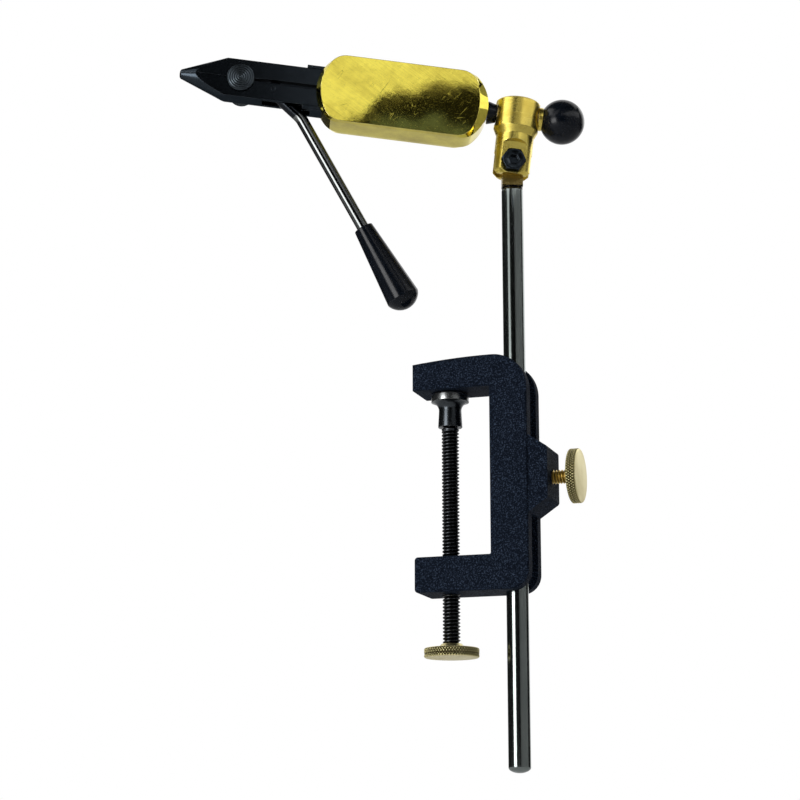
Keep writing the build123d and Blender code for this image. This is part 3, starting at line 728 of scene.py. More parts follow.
class Finishes:
    """Every finish of the vise."""

    coat = CrinkleCoat()
    moulding = Moulding()
    body_brass = Metal(
        "body_brass", (0.80, 0.69, 0.105), (0.42, 0.33, 0.045), (0.90, 0.80, 0.32), 0.03, 0.05, Lay.SLANTED,
        marks=0.0009, scratched=0.16, smear_size=16.0, edge_round=0.30, mottle=0.0035, hairline=0.50)
    head_brass = Metal(
        "head_brass", (0.76, 0.62, 0.14), (0.60, 0.44, 0.07), (0.90, 0.80, 0.34), 0.24, 0.10,
        scratched=0.14, smear_size=14.0, edge_round=0.25)
    knob_brass = Metal(
        "knob_brass", (0.72, 0.64, 0.31), (0.60, 0.51, 0.21), (0.82, 0.74, 0.40), 0.28, 0.12,
        marks=0.0012, scratched=0.10, smear_size=12.0, edge_round=0.12, groove_shade_strength=0.95)
    thread_brass = Metal(
        "thread_brass", (0.78, 0.57, 0.17), (0.62, 0.42, 0.10), (0.84, 0.66, 0.26), 0.26, 0.14,
        marks=0.0010, scratched=0.10, smear_size=6.0, edge_round=0.08, groove_shade_strength=0.6)
    bronze_look = dict(
        bright=(0.40, 0.30, 0.10), dull=(0.20, 0.14, 0.045), rubbed=(0.52, 0.42, 0.18), roughness=0.24,
        spread=0.12, lay=Lay.ALONG, marks=0.0012, scratched=0.10, smear_size=8.0)
    bronze = Metal("bronze", **bronze_look)
    # The tongue's foot, up to 1.9 mm above the post's top, gets painted shadow.
    tongue_bronze = PaintedShadeFoot("tongue_bronze", **bronze_look, level=LAYOUT.post.ends("post")[1] + 1.9)
    post_steel = Metal(
        "post_steel", (0.235, 0.262, 0.252), (0.185, 0.210, 0.204), (0.33, 0.35, 0.34), 0.11, 0.06,
        Lay.UPRIGHT, marks=0.0005, smear_size=30.0)
    # The rod's root, below -59 mm on the lever's run where it leaves the jaw, gets painted shadow.
    lever_steel = PaintedShadeFoot(
        "lever_steel", (0.15, 0.157, 0.156), (0.115, 0.122, 0.121), (0.22, 0.227, 0.224), 0.10, 0.05,
        Lay.UPRIGHT, marks=0.0004, smear_size=16.0, edge_round=0.15, level=-59.0, black=(0.020, 0.023, 0.027))
    # The pad's neck and flare, below the rim, get painted shade.
    pad_steel = PaintedShadeFoot(
        "pad_steel", (0.30, 0.31, 0.31), (0.22, 0.23, 0.235), (0.36, 0.37, 0.37), 0.24, 0.10,
        level=LAYOUT.clamp.ends("clamp_pad")[1] - 3.3, black=(0.055, 0.062, 0.069))
    screw_steel = Metal(
        "screw_steel", (0.075, 0.080, 0.088), (0.048, 0.052, 0.058), (0.13, 0.135, 0.14), 0.26, 0.12,
        scratched=0.05, edge_round=0.06, groove_shade_strength=0.9)
    black_steel = Metal(
        "black_steel", (0.034, 0.042, 0.051), (0.023, 0.030, 0.037), (0.070, 0.080, 0.090), 0.20, 0.08,
        Lay.ALONG, marks=0.0006, scratched=0.06, smear_size=15.0, edge_round=0.30, glancing=0.42)
    pin_steel = Metal(
        "pin_steel", (0.066, 0.080, 0.092), (0.048, 0.060, 0.070), (0.11, 0.13, 0.142), 0.28, 0.10,
        marks=0.0010, scratched=0.06, edge_round=0.12)
    plain_steel = Metal(
        "plain_steel", (0.42, 0.43, 0.43), (0.32, 0.33, 0.33), (0.55, 0.56, 0.56), 0.20, 0.10,
        smear_size=12.0, edge_round=0.12)


# Pieces


def dress(finish: Finish, stand: Stand, *nodes: str) -> None:
    """Give solids their finish.

    Args:
        finish: The finish.
        stand: Place that the finish's pattern is measured on.
        *nodes: Names of the solids.
    """
    material = finish.material(stand)
    for node in nodes:
        thing = frame["nodes"][node]
        if not thing.material_slots:
            thing.data.materials.append(material)
        for holder in thing.material_slots:
            holder.material = material
        LOG.info("dressed %s in %s", node, finish.name)


def stand_for(node: str, grid: Array, stand: Stand, finish: Finish,
              closed: bool = False) -> bpy.types.Object:
    """Put a worked surface in a solid's place.

    Args:
        node: Name of the solid that the surface stands for.
        grid: Rings of local millimetre points.
        stand: Place that the rings are measured on.
        finish: The finish.
        closed: Whether the rings go round, as in a piece with a through hole.

    Returns:
        The new piece.
    """
    piece = skin(f"{node}_skin", stand.place(grid), closed)
    piece.data.materials.append(finish.material(stand))
    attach(piece, BODY_OF[node])
    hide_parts(node)
    LOG.info("made %s with %d faces on %s", piece.name, len(piece.data.polygons), BODY_OF[node])
    return piece


def cut_piece(node: str, profile: Array, segments: int, stand: Stand, finish: Finish,
              relief: Relief, inner: float = 0.0) -> None:
    """Turn a piece with a relief in a solid's place.

    Its points keep how deep they lie below the profile, as a share of the deepest cut, and the finish
    paints shade into the deep ones.

    Args:
        node: Name of the solid that the piece stands for.
        profile: Radii and heights of the uncut piece, from pole to pole.
        segments: Steps round the axis.
        stand: Place that the profile is turned on.
        finish: The finish.
        relief: Change in radius by height and angle.
        inner: Radius up to which the surface stays plain.
    """
    grid = turned(profile, segments, relief, inner)
    piece = stand_for(node, grid, stand, finish)
    depth = profile[1:-1, :1] - np.hypot(grid[1:-1, :, 0], grid[1:-1, :, 1])
    share = np.append(np.clip(depth / depth.max(), 0.0, 1.0), (0.0, 0.0))
    piece.data.attributes.new("cut", "FLOAT", "POINT").data.foreach_set("value", share)


@dataclass(frozen=True)
class KnurledRim:
    """A disc's rim: chamfered edges with a crossed knurl between them.

    Two triangle waves wind round in opposite senses, teeth * a / turn + h / pitch and
    teeth * a / turn - h / pitch, and the lower of the two, made steeper, is the surface.
    """

    teeth: int = 60
    pitch: float = 1.7
    depth: float = 0.42
    steepness: float = 1.6
    edge: float = 0.4
    margin: float = 0.2
    rows: int = 42
    line: float | None = None
    line_width: float = 0.16
    rounding: tuple[float, float] = (0.3, 0.25)

    def relief(self, low: float, high: float) -> Relief:
        """Make the knurl, with a fine turned line through it if it has one.

        Args:
            low: Height of the rim's lower face.
            high: Height of its upper face.

        Returns:
            A function of heights and angles that gives the change in radius.
        """

        def cut(height: Array, angle: Array) -> Array:
            """Work out the knurl's cut.

            Args:
                height: Heights on the rim.
                angle: Angles round it.

            Returns:
                The change in radius at each height and angle.
            """
            step = self.teeth * angle / TURN
            tooth = np.minimum(ridge(step + height / self.pitch), ridge(step - height / self.pitch))
            between = (height >= low + self.margin) & (height <= high - self.margin)
            share = np.where(between, 1.0 - np.minimum(self.steepness * tooth, 1.0), 0.0)
            if self.line is not None:
                share = np.maximum(share, np.exp(-(((height - low - self.line) / self.line_width) ** 2)))
            return -self.depth * share

        return cut

    def build(self, node: str, slot: str, stand: Stand, finish: Finish, ends: tuple[float, float, float],
              below: Outline, above: Outline) -> None:
        """Turn a knurled disc in a solid's place.

        Args:
            node: Name of the solid that the disc stands for.
            slot: The record's finish slot; not used.
            stand: Place that the disc is turned on.
            finish: The finish.
            ends: Height of the rim's lower face, height of its upper face, and its radius.
            below: The profile's corners from the axis to the lower face.
            above: The profile's corners from the upper face to the axis.
        """
        low, high, rim = ends
        inner = rim - self.edge
        start = soften((*below, (inner, low), (rim, low + self.edge)), self.rounding[0])[:-1]
        side = straight(rim, np.linspace(low + self.edge, high - self.edge, self.rows))
        stop = soften(((rim, high - self.edge), (inner, high), *above), self.rounding[1])[1:]
        profile = np.vstack((start, side, stop))
        cut_piece(node, profile, 12 * self.teeth, stand, finish, self.relief(low, high), inner - 1e-6)


@dataclass
class TableClamp:
    """The cast C-clamp with its pad, screw and wheel."""

    pitch: float = 1.5
    thread_depth: float = 0.82
    screw_radius: float = 3.8
    screw_chamfer: float = 0.7
    ball_radius: float = 3.0
    ball_gap: float = 0.05
    neck_radius: float = 2.2
    shoulder_gap: float = 0.15
    rim_height: float = 3.3
    waist_radius: float = 4.9
    flare: float = 3.8
    foot_radius: float = 5.3
    wheel_thickness: float = 4.1
    hub_base: float = 6.1
    hub_top: float = 4.3
    wheel_rim: KnurledRim = KnurledRim(line=1.55)

    def build(self) -> None:
        """Build and dress the clamp's four pieces."""
        dress(Finishes.coat, LAYOUT.clamp, "clamp_frame")
        self.pad()
        self.screw()
        self.wheel()

    def pad(self) -> None:
        """Turn the pad: ball socket and neck hole inside, waisted stem and flared disc outside."""
        foot, top, rim = LAYOUT.clamp.ends("clamp_pad")
        ledge = top - self.rim_height
        waist = ledge - self.flare
        centre = ledge - self.ball_radius
        socket, hole = self.ball_radius + self.ball_gap, self.neck_radius + self.ball_gap
        inside = dome(centre, socket, -np.arccos(hole / socket), 18)[::-1]
        skirt = soften(((hole, centre - socket), (hole, foot), (self.foot_radius, foot),
                        (self.waist_radius, waist)), 0.3)[1:]
        reach = rim - self.waist_radius
        bend = (reach**2 + self.flare**2) / (2.0 * reach)
        flare = arc((self.waist_radius + bend, waist), bend, TURN / 2,
                    TURN / 2 - np.arcsin(self.flare / bend), 12)[1:]
        disc = soften(((rim - 0.3, ledge - 0.1), (rim, ledge), (rim, top), (0.0, top)), 0.4)[1:]
        grid = turned(np.vstack((inside, skirt, flare, disc)), 96)
        stand_for("clamp_pad", grid, LAYOUT.clamp, Finishes.pad_steel)

    def screw(self) -> None:
        """Turn the screw: a long right-hand thread, a plain neck and the ball end."""
        foot, top, _ = LAYOUT.clamp.ends("clamp_screw")
        shoulder = LAYOUT.clamp.ends("clamp_pad")[0] - self.shoulder_gap
        low, high = foot + self.screw_chamfer, shoulder - self.screw_chamfer
        end = self.screw_radius - self.screw_chamfer
        centre = top - self.ball_radius
        neck_top = centre - np.sqrt(self.ball_radius**2 - self.neck_radius**2)
        profile = np.vstack((
            ((0.0, foot), (end, foot)),
            straight(self.screw_radius, np.arange(low, high, self.pitch / THREAD_ROWS)),
            ((end, shoulder), (self.neck_radius, shoulder), (self.neck_radius, neck_top - 0.05)),
            dome(centre, self.ball_radius, -np.arccos(self.neck_radius / self.ball_radius), 16)))
        cut_piece("clamp_screw", profile, 44, LAYOUT.clamp, Finishes.screw_steel,
                  thread(self.pitch, self.thread_depth, low, high))

    def wheel(self) -> None:
        """Turn the wheel: a plain face, a knurled rim, and a coned hub with a blind hole for the screw."""
        foot, top, rim = LAYOUT.clamp.ends("clamp_wheel")
        floor = LAYOUT.clamp.ends("clamp_screw")[0]
        face = foot + self.wheel_thickness
        bore = self.screw_radius + FIT
        hub = ((self.hub_base, face), (self.hub_top, top), (bore, top), (bore, floor), (0.0, floor))
        self.wheel_rim.build("clamp_wheel", "brass", LAYOUT.clamp, Finishes.knob_brass, (foot, face, rim),
                             ((0.0, foot),), hub)


@dataclass
class Thumbscrew:
    """The brass thumbscrew that locks the post."""

    pitch: float = 1.27
    thread_depth: float = 0.62
    runout: float = 0.6
    stem_radius: float = 3.0
    chamfer: float = 0.5
    spigot: float = 3.0
    rim: KnurledRim = KnurledRim(line=1.95, rounding=(0.25, 0.3))

    def build(self) -> None:
        """Build the threaded stem and the knurled disc."""
        self.stem()
        self.disc()

    def stem(self) -> None:
        """Turn the stem: a right-hand thread with a chamfer at each end."""
        low, high, _ = LAYOUT.thumb.ends("thumbscrew_stem")
        start, end = low + self.chamfer, self.stem_radius - self.chamfer
        profile = np.vstack((
            ((0.0, low), (end, low)),
            straight(self.stem_radius, np.arange(start, high - self.chamfer, self.pitch / THREAD_ROWS)),
            ((end, high), (0.0, high))))
        cut_piece("thumbscrew_stem", profile, 56, LAYOUT.thumb, Finishes.thread_brass,
                  thread(self.pitch, self.thread_depth, start, high - self.spigot + self.runout))

    def disc(self) -> None:
        """Turn the disc: a blind hole for the stem, a knurled rim and a plain face."""
        back, face, rim = LAYOUT.thumb.ends("thumbscrew_disc")
        bore, floor = self.stem_radius + FIT, back + self.spigot
        self.rim.build("thumbscrew_disc", "brass", LAYOUT.thumb, Finishes.knob_brass, (back, face, rim),
                       ((0.0, floor), (bore, floor), (bore, back)), ((0.0, face),))


@dataclass
class Stem:
    """The post and the bronze tongue on its top."""

    foot_round: float = 2.4
    top_chamfer: float = 0.5
    top_length: float = 12.0
    socket_radius: float = 2.81
    socket_depth: float = 14.0

    def build(self) -> None:
        """Turn the post, with a domed foot and a socket for the tongue, and dress the tongue.

        The foot is half an ellipse: radius R sin t and height d (1 - cos t), for t up to a quarter turn.
        """
        foot, top, radius = LAYOUT.post.ends("post")
        t = np.linspace(0.0, TURN / 4, 20)
        foot_arc = np.column_stack((radius * np.sin(t), foot + self.foot_round * (1.0 - np.cos(t))))
        floor = top - self.socket_depth
        mouth = soften(((radius, top - self.top_length), (radius, top - self.top_chamfer),
                        (radius - self.top_chamfer, top), (self.socket_radius, top),
                        (self.socket_radius, floor), (0.0, floor)), 0.15)
        grid = turned(np.vstack((foot_arc, mouth)), 128)
        stand_for("post", grid, LAYOUT.post, Finishes.post_steel)
        dress(Finishes.tongue_bronze, LAYOUT.post, "pivot_tongue")


@dataclass
class TiltHead:
    """The turned brass head with its bush, pivot screw and nut."""

    flats: float = 9.5
    head_height: float = 3.2
    head_seat: float = 6.5
    socket: float = 3.9
    socket_depth: float = 2.0
    socket_chamfer: float = 0.25
    mouth_share: float = 1.28
    shank_radius: float = 2.5
    shank_chamfer: float = 0.4
    crown: float = 0.55
    crown_share: float = 0.97
    face_share: float = 0.9

    def build(self) -> None:
        """Dress the head and its bush, and build the screw and nut."""
        dress(Finishes.head_brass, LAYOUT.deck, "head")
        dress(Finishes.bronze, LAYOUT.spindle, "spindle_bush")
        self.screw()
        self.nut()

    def screw(self) -> None:
        """Turn the screw: each ring is a circle or a hexagon, and the crown cuts the corners to a cone."""
        low = LAYOUT.pivot.ends("pivot_screw")[0]
        seat, top = self.head_seat, self.head_seat + self.head_height
        floor = top - self.socket_depth
        crown, levels = self.crowned(seat, top)
        drive = hexagon(self.socket / 2, angles(HEX_POINTS))
        shank = np.array((0.0, self.shank_radius - self.shank_chamfer, self.shank_radius, self.shank_radius))
        mouth = np.full(HEX_POINTS, self.mouth_share * self.socket / 2)
        pole = np.zeros(HEX_POINTS)
        radii = np.vstack((shank[:, None] + pole, crown, mouth, drive, drive, pole))
        heights = np.concatenate(((low, low, low + self.shank_chamfer, seat), levels,
                                  (top, top - self.socket_chamfer, floor, floor)))
        stand_for("pivot_screw", rings(radii, heights), LAYOUT.pivot, Finishes.black_steel)

    def nut(self) -> None:
        """Turn the nut: crowned hexagon rings outside, a round bore inside."""
        low, high, _ = LAYOUT.pivot.ends("pivot_nut")
        crown, levels = self.crowned(high, low)
        bore = np.full(HEX_POINTS, self.shank_radius + FIT)
        grid = rings(np.vstack((bore, crown[::-1], bore)), np.concatenate(((low,), levels[::-1], (high,))))
        stand_for("pivot_nut", grid, LAYOUT.pivot, Finishes.black_steel, closed=True)

    def crowned(self, seat: float, top: float) -> tuple[Array, Array]:
        """Work out a hexagon's rings with its free end cut to a cone.

        The radius is the lower of the hexagon's and the cone's, which falls from the corners to the flats.

        Args:
            seat: Height of the seated end.
            top: Height of the free end.

        Returns:
            Radii by ring and angle, and the rings' heights from the seat to the free end.
        """
        apothem = self.flats / 2
        outline = hexagon(apothem, angles(HEX_POINTS))
        drop = np.linspace(self.crown, 0.0, 7)
        small, wide = apothem * self.crown_share, apothem / np.cos(TURN / 12)
        cone = small + (wide - small) * drop[:, None] / self.crown
        face = np.full(HEX_POINTS, apothem * self.face_share)
        radii = np.vstack((outline, np.minimum(outline, cone), face))
        return radii, np.concatenate(((seat,), top - np.sign(top - seat) * drop, (top,)))


@dataclass
class RollingBody:
    """The brass body on its spindle, with the spacer, set screws and jaw holder."""

    spacer_wide: float = 5.05
    spacer_narrow: float = 4.0
    spacer_land: float = 0.5
    bore: float = 3.185

    def build(self) -> None:
        """Dress the solids and turn the coned spacer."""
        dress(Finishes.body_brass, LAYOUT.deck, "body")
        dress(Finishes.plain_steel, LAYOUT.spindle, "spindle")
        dress(Finishes.black_steel, LAYOUT.deck, "jaw_holder", "holder_set_screw", "spindle_set_screw")
        back, front, _ = LAYOUT.spindle.ends("cone_spacer")
        profile = soften(((self.bore, back), (self.spacer_wide, back),
                          (self.spacer_wide, back + self.spacer_land), (self.spacer_narrow, front),
                          (self.bore, front)), 0.25, closed=True)
        stand_for("cone_spacer", turned(profile, 96), LAYOUT.spindle, Finishes.moulding,
                  closed=True)


@dataclass
class Jaws:
    """The split jaws with their dowel, pivot pin, adjusting knob and spring."""

    head_thickness: float = 1.7
    head_fall: float = 0.28
    ring_step: float = 1.0
    ring_depth: float = 0.14
    pin_radius: float = 3.0
    thread_radius: float = 2.0
    thread_pitch: float = 0.7
    thread_depth: float = 0.3
    thread_gap: float = 0.1
    chamfer: float = 0.4
    wire: float = 0.5
    coil: float = 1.5
    coils: float = 6.0
    knob_rim: KnurledRim = KnurledRim(34, 1.2, 0.3, edge=0.8, margin=1.2, rows=90, rounding=(0.3, 0.2))

    def build(self) -> None:
        """Dress the jaws and dowel, and build the pin, knob and spring."""
        dress(Finishes.black_steel, LAYOUT.deck, "upper_jaw", "lower_jaw")
        dress(Finishes.plain_steel, LAYOUT.deck, "jaw_dowel")
        self.pin()
        self.knob()
        self.spring()

    def pin(self) -> None:
        """Turn the pin: a threaded tail, the shank, and a head whose face is cut in rings.

        The face's height at radius r is its top less the ring depth times half of 1 - cos(turn r / step),
        falling a little towards the rim.
        """
        tail, top, rim = LAYOUT.pin.ends("jaw_pivot_pin")
        seat = top - self.head_thickness
        neck = LAYOUT.pin.ends("jaw_adjust_knob")[1]
        end = neck - self.thread_gap
        r = np.linspace(rim - 0.25, 0.0, 76)
        wave = 0.5 - 0.5 * np.cos(TURN * r / self.ring_step)
        profile = np.vstack((
            ((0.0, tail), (self.thread_radius - self.chamfer, tail)),
            straight(self.thread_radius, np.arange(tail + self.chamfer, end, self.thread_pitch / 8.0)),
            ((self.thread_radius, neck), (self.pin_radius, neck), (self.pin_radius, seat), (rim - 0.2, seat),
             (rim, seat + 0.2), (rim, top - 0.62)),
            np.column_stack((r, top - self.ring_depth * wave - self.head_fall * (r / rim) ** 2))))
        grid = turned(profile, 112, thread(self.thread_pitch, self.thread_depth, tail, end))
        stand_for("jaw_pivot_pin", grid, LAYOUT.pin, Finishes.pin_steel)

    def knob(self) -> None:
        """Turn the knob: a plain end, a knurled wall and a blind hole for the pin's thread."""
        end, mouth, rim = LAYOUT.pin.ends("jaw_adjust_knob")
        floor = LAYOUT.pin.ends("jaw_pivot_pin")[0]
        bore = self.thread_radius + FIT
        hole = ((bore, mouth), (bore, floor), (0.0, floor))
        self.knob_rim.build("jaw_adjust_knob", "black_steel", LAYOUT.pin, Finishes.pin_steel,
                            (end, mouth, rim), ((0.0, end),), hole)

    def spring(self) -> None:
        """Wind the spring: a circle of wire carried along a helix, (c cos t, c sin t, rise t)."""
        low, high = LAYOUT.deck.span("jaw_spring")
        middle = (low + high) / 2
        t = np.linspace(0.0, TURN * self.coils, 200)
        out = np.column_stack((np.cos(t), np.sin(t), np.zeros_like(t)))
        rise = (high[2] - low[2] - self.wire) * t / t[-1]
        base = np.array((middle[0], middle[1], low[2] + self.wire / 2))
        centres = base + self.coil * out + rise[:, None] * (0.0, 0.0, 1.0)
        ways = np.gradient(centres, axis=0)
        ways /= np.linalg.norm(ways, axis=1, keepdims=True)
        steps = np.pad(np.arange(len(t)), 1, mode="edge")
        radii = np.pad(np.full_like(t, self.wire / 2), 1)
        grid = swept(centres[steps], np.cross(ways, out)[steps], -out[steps], radii, 10)
        stand_for("jaw_spring", grid, LAYOUT.deck, Finishes.plain_steel)


@dataclass
class CamLever:
    """The cam, its pin, and the bent lever with its grip."""

    exit_angle: float = 37.0
    bend_angle: float = 17.5
    start: float = 3.15
    to_bend: float = 17.1
    bend_radius: float = 12.0
    to_grip: float = 57.6
    spigot_radius: float = 1.2
    spigot_depth: float = 1.6
    rod_radius: float = 2.7
    rod_chamfer: float = 0.3
    bend_steps: int = 16
    grip_length: float = 41.0
    grip_socket: float = 22.0
    neck_radius: float = 4.3
    neck_length: float = 0.8
    wide_radius: float = 7.45
    dome_height: float = 5.0

    def build(self) -> None:
        """Dress the cam and its pin, and build the rod and the grip."""
        dress(Finishes.black_steel, LAYOUT.deck, "cam", "cam_pin")
        centre = LAYOUT.deck.local(joint_place("cam_lever")[0])
        out, run = np.radians((self.exit_angle, self.exit_angle + self.bend_angle))
        exit_way = np.array((np.cos(out), 0.0, -np.sin(out)))
        run_way = np.array((np.cos(run), 0.0, -np.sin(run)))
        inward = np.array((-np.sin(out), 0.0, -np.cos(out)))
        corner = centre + self.to_bend * exit_way
        along, across = LAYOUT.deck.basis() @ run_way, LAYOUT.deck.y
        begin = LAYOUT.deck.place(corner + self.to_grip * run_way)
        stand = Stand("lever", begin, across, np.cross(along, across), along)
        self.rod(stand, centre, corner, exit_way, run_way, inward)
        self.grip(stand)

    def rod(self, stand: Stand, centre: Array, corner: Array, exit_way: Array, run_way: Array,
            inward: Array) -> None:
        """Sweep the rod along a line, an arc and a line, with a spigot at the cam and chamfered ends.

        Args:
            stand: The lever's stand, on the run's axis where the grip starts.
            centre: The cam's centre on the deck.
            corner: Where the two lines would meet.
            exit_way: Way of the line from the cam.
            run_way: Way of the line to the grip.
            inward: Way from the first line towards the bend's centre.
        """
        bend = np.radians(self.bend_angle)
        turn = np.linspace(0.0, bend, self.bend_steps)[:, None]
        curve = (corner - self.bend_radius * np.tan(bend / 2) * exit_way
                 + self.bend_radius * (np.sin(turn) * exit_way + (1 - np.cos(turn)) * inward))
        back, cut = self.start - self.spigot_depth, self.rod_chamfer
        root = np.array((back, back, self.start, self.start, self.start + cut))
        tip = self.to_grip + self.grip_socket
        end = np.array((tip - cut, tip, tip))
        centres = np.vstack((centre + root[:, None] * exit_way, curve, corner + end[:, None] * run_way))
        along = np.vstack((np.tile(exit_way, (len(root), 1)), np.cos(turn) * exit_way + np.sin(turn) * inward,
                           np.tile(run_way, (len(end), 1))))
        radii = np.concatenate(((0.0, self.spigot_radius, self.spigot_radius, self.rod_radius - cut),
                                np.full(self.bend_steps + 2, self.rod_radius), (self.rod_radius - cut, 0.0)))
        sides = np.tile((0.0, 1.0, 0.0), (len(along), 1))
        grid = swept(centres, sides, np.cross(along, sides), radii, 72)
        points = stand.local(LAYOUT.deck.place(grid))
        stand_for("lever_rod", points, stand, Finishes.lever_steel)

    def grip(self, stand: Stand) -> None:
        """Turn the grip: a blind socket for the rod, a tapered wall and a domed end.

        Args:
            stand: The lever's stand.
        """
        bore, wall_end = self.rod_radius + FIT, self.grip_length - self.dome_height
        mouth = soften(((0.0, self.grip_socket), (bore, self.grip_socket), (bore, 0.0),
                        (self.neck_radius, 0.0), (self.neck_radius + 0.05, self.neck_length)), 0.35)
        slope = np.linspace(self.neck_length, wall_end, 30)[1:]
        taper = (self.wide_radius - self.neck_radius) / wall_end
        wall = np.column_stack((self.neck_radius + taper * slope, slope))
        bend = (self.wide_radius**2 + self.dome_height**2) / (2 * self.dome_height)
        cap = dome(self.grip_length - bend, bend, np.arccos(self.wide_radius / bend), 26)
        shoulder = soften(np.vstack((wall[-1:] - (0.1, 1.2), cap[:1], cap[3:4])), 1.6, steps=8)
        grid = turned(np.vstack((mouth, wall[:-2], shoulder[1:-1], cap[3:])), 112)
        stand_for("lever_grip", grid, stand, Finishes.moulding)


@dataclass
class BallKnob:
    """The black ball and the brass ferrule on the spindle's end."""

    ferrule_radius: float = 5.15
    bore: float = 3.225
    flat_radius: float = 4.5
    ball_radius: float = 10.0
    bore_depth: float = 9.15

    def build(self) -> None:
        """Turn the ferrule and the ball."""
        low, high, _ = LAYOUT.spindle.ends("ball_ferrule")
        ring = soften(((self.bore, low), (self.ferrule_radius, low), (self.ferrule_radius, high),
                       (self.bore, high)), 0.25, closed=True)
        stand_for("ball_ferrule", turned(ring, 112), LAYOUT.spindle, Finishes.head_brass,
                  closed=True)
        flat = LAYOUT.spindle.ends("ball_knob")[0]
        floor = flat + self.bore_depth
        centre = flat + np.sqrt(self.ball_radius**2 - self.flat_radius**2)
        ball = dome(centre, self.ball_radius, -np.arccos(self.flat_radius / self.ball_radius), 64)
        profile = np.vstack((((0.0, floor), (self.bore, floor), (self.bore, flat)), ball))
        stand_for("ball_knob", turned(profile, 128), LAYOUT.spindle, Finishes.moulding)


# Studio


@dataclass
class Studio:
    """The camera, soft lights, pale floor and grey walls round the vise, in metres and degrees."""

    camera_point: tuple[float, float, float] = (0.2716, -0.8983, -0.2131)
    azimuth: float = 18.16
    elevation: float = -12.64
    roll: float = -0.09
    lens: float = 99.0
    sensor: float = 36.0
    floor_height: float = -0.245
    ceiling_height: float = 1.95
    wall_radius: float = 1.8
    wall_foot: float = -0.24
    aim_height: float = 0.04
    card_reach: float = 1.55

    def build(self) -> None:
        """Set up the world, the stage, the lights and the camera."""
        self.world()
        self.stage()
        self.lights()
        self.face_cards()
        self.camera()

    def put(self, thing: bpy.types.Object, right: Array, up: Array, back: Array, point: Array) -> None:
        """Link an object to the scene at a point.

        Args:
            thing: The object.
            right: Its first axis.
            up: Its second axis.
            back: Its third axis.
            point: Its place in metres.
        """
        placed = np.eye(4)
        placed[:3] = np.column_stack((right, up, back, point))
        thing.matrix_world = Matrix(placed.tolist())
        bpy.context.scene.collection.objects.link(thing)

    def camera(self) -> None:
        """Place the camera at the picture's own angle, right, up and back being its axes."""
        a, e, r = np.radians((self.azimuth, self.elevation, self.roll))
        right = np.array((np.cos(a), np.sin(a), 0.0))
        up = np.array((-np.sin(a) * np.sin(e), np.cos(a) * np.sin(e), np.cos(e)))
        back = np.array((np.sin(a) * np.cos(e), -np.cos(a) * np.cos(e), np.sin(e)))
        side, top = right * np.cos(r) + up * np.sin(r), up * np.cos(r) - right * np.sin(r)
        data = bpy.data.cameras.new("camera")
        data.lens, data.sensor_width, data.clip_start = self.lens, self.sensor, 0.02
        thing = bpy.data.objects.new("camera", data)
        self.put(thing, side, top, back, self.camera_point)
        bpy.context.scene.camera = thing

    def world(self) -> None:
        """Make the surroundings: white where they are seen or mirrored, softer where they light the vise."""
        world = bpy.data.worlds.new("studio")
        bpy.context.scene.world = world
        world.use_nodes = True
        board = Board(world.node_tree)
        path = board.add("LightPath").outputs
        mirrored = board.math("MAXIMUM", path["Is Glossy Ray"], path["Is Transmission Ray"])
        seen = board.math("MAXIMUM", path["Is Camera Ray"], mirrored)
        strength = board.remap(seen, 0.0, 1.0, 0.95, 1.0)
        sky = board.add("Background", {"Color": rgba((1.0, 1.0, 1.0)), "Strength": strength})
        board.add("OutputWorld", {"Surface": sky.outputs[0]})

    def stage(self) -> None:
        """Lay the floor and the ceiling, and hang the walls and drapes."""
        self.sheet("floor", (-4.0, -4.0), (4.0, 4.0), self.floor_height, 0.86, True)
        self.sheet("ceiling", (-1.8, -1.8), (1.8, 0.7), self.ceiling_height, 0.05, False)
        self.wall("left_wall", self.wall_radius, -140.0, 0.0, 0.92, 0.06)
        self.wall("right_wall", self.wall_radius, 0.0, 116.0, 1.9, 0.66)
        self.wall("right_drape", self.wall_radius, 116.0, 152.0, 1.9, 0.03)
        self.wall("black_drape", self.wall_radius - 0.3, -6.0, 31.0, 1.1, 0.015)

    def sheet(self, name: str, low: tuple[float, float], high: tuple[float, float], level: float,
              shade: float, seen: bool) -> None:
        """Lay a flat sheet.

        Args:
            name: Name of the sheet.
            low: Its lowest corner, seen from above.
            high: Its highest corner.
            level: Its height.
            shade: Its grey.
            seen: Whether the camera sees it, or only the lights and mirrors do.
        """
        x, y = np.meshgrid((low[0], high[0]), (low[1], high[1]), indexing="ij")
        self.panel(name, np.stack((x, y, np.full_like(x, level)), axis=-1), shade, seen)

    def wall(self, name: str, radius: float, start: float, stop: float, top: float, shade: float) -> None:
        """Stand a curved wall: points (R sin f, -R cos f, h), f being the angle from the front.

        Args:
            name: Name of the wall.
            radius: Distance from the vise.
            start: First angle, towards the left.
            stop: Last angle, towards the right.
            top: Upper edge.
            shade: Grey of the wall.
        """
        across = np.radians(np.linspace(start, stop, 48))
        level, angle = np.meshgrid((self.wall_foot, top), across, indexing="ij")
        grid = np.stack((radius * np.sin(angle), -radius * np.cos(angle), level), axis=-1)
        self.panel(name, grid, shade, False)

    def panel(self, name: str, grid: Array, shade: float, seen: bool) -> None:
        """Make a matt grey stage surface from a grid of points.

        Args:
            name: Name of the surface.
            grid: Points in metres.
            shade: Grey of the surface.
            seen: Whether the camera sees it, or only the lights and mirrors do.
        """
        index = np.arange(grid[..., 0].size).reshape(grid.shape[:2])
        faces = np.stack((index[:-1, :-1], index[1:, :-1], index[1:, 1:], index[:-1, 1:]), axis=-1)
        look = {"Base Color": rgba((shade,) * 3), "Roughness": 0.9, "Specular IOR Level": 0.1}
        self.surface(name, grid.reshape(-1, 3), faces.reshape(-1, 4).tolist(), look, seen)

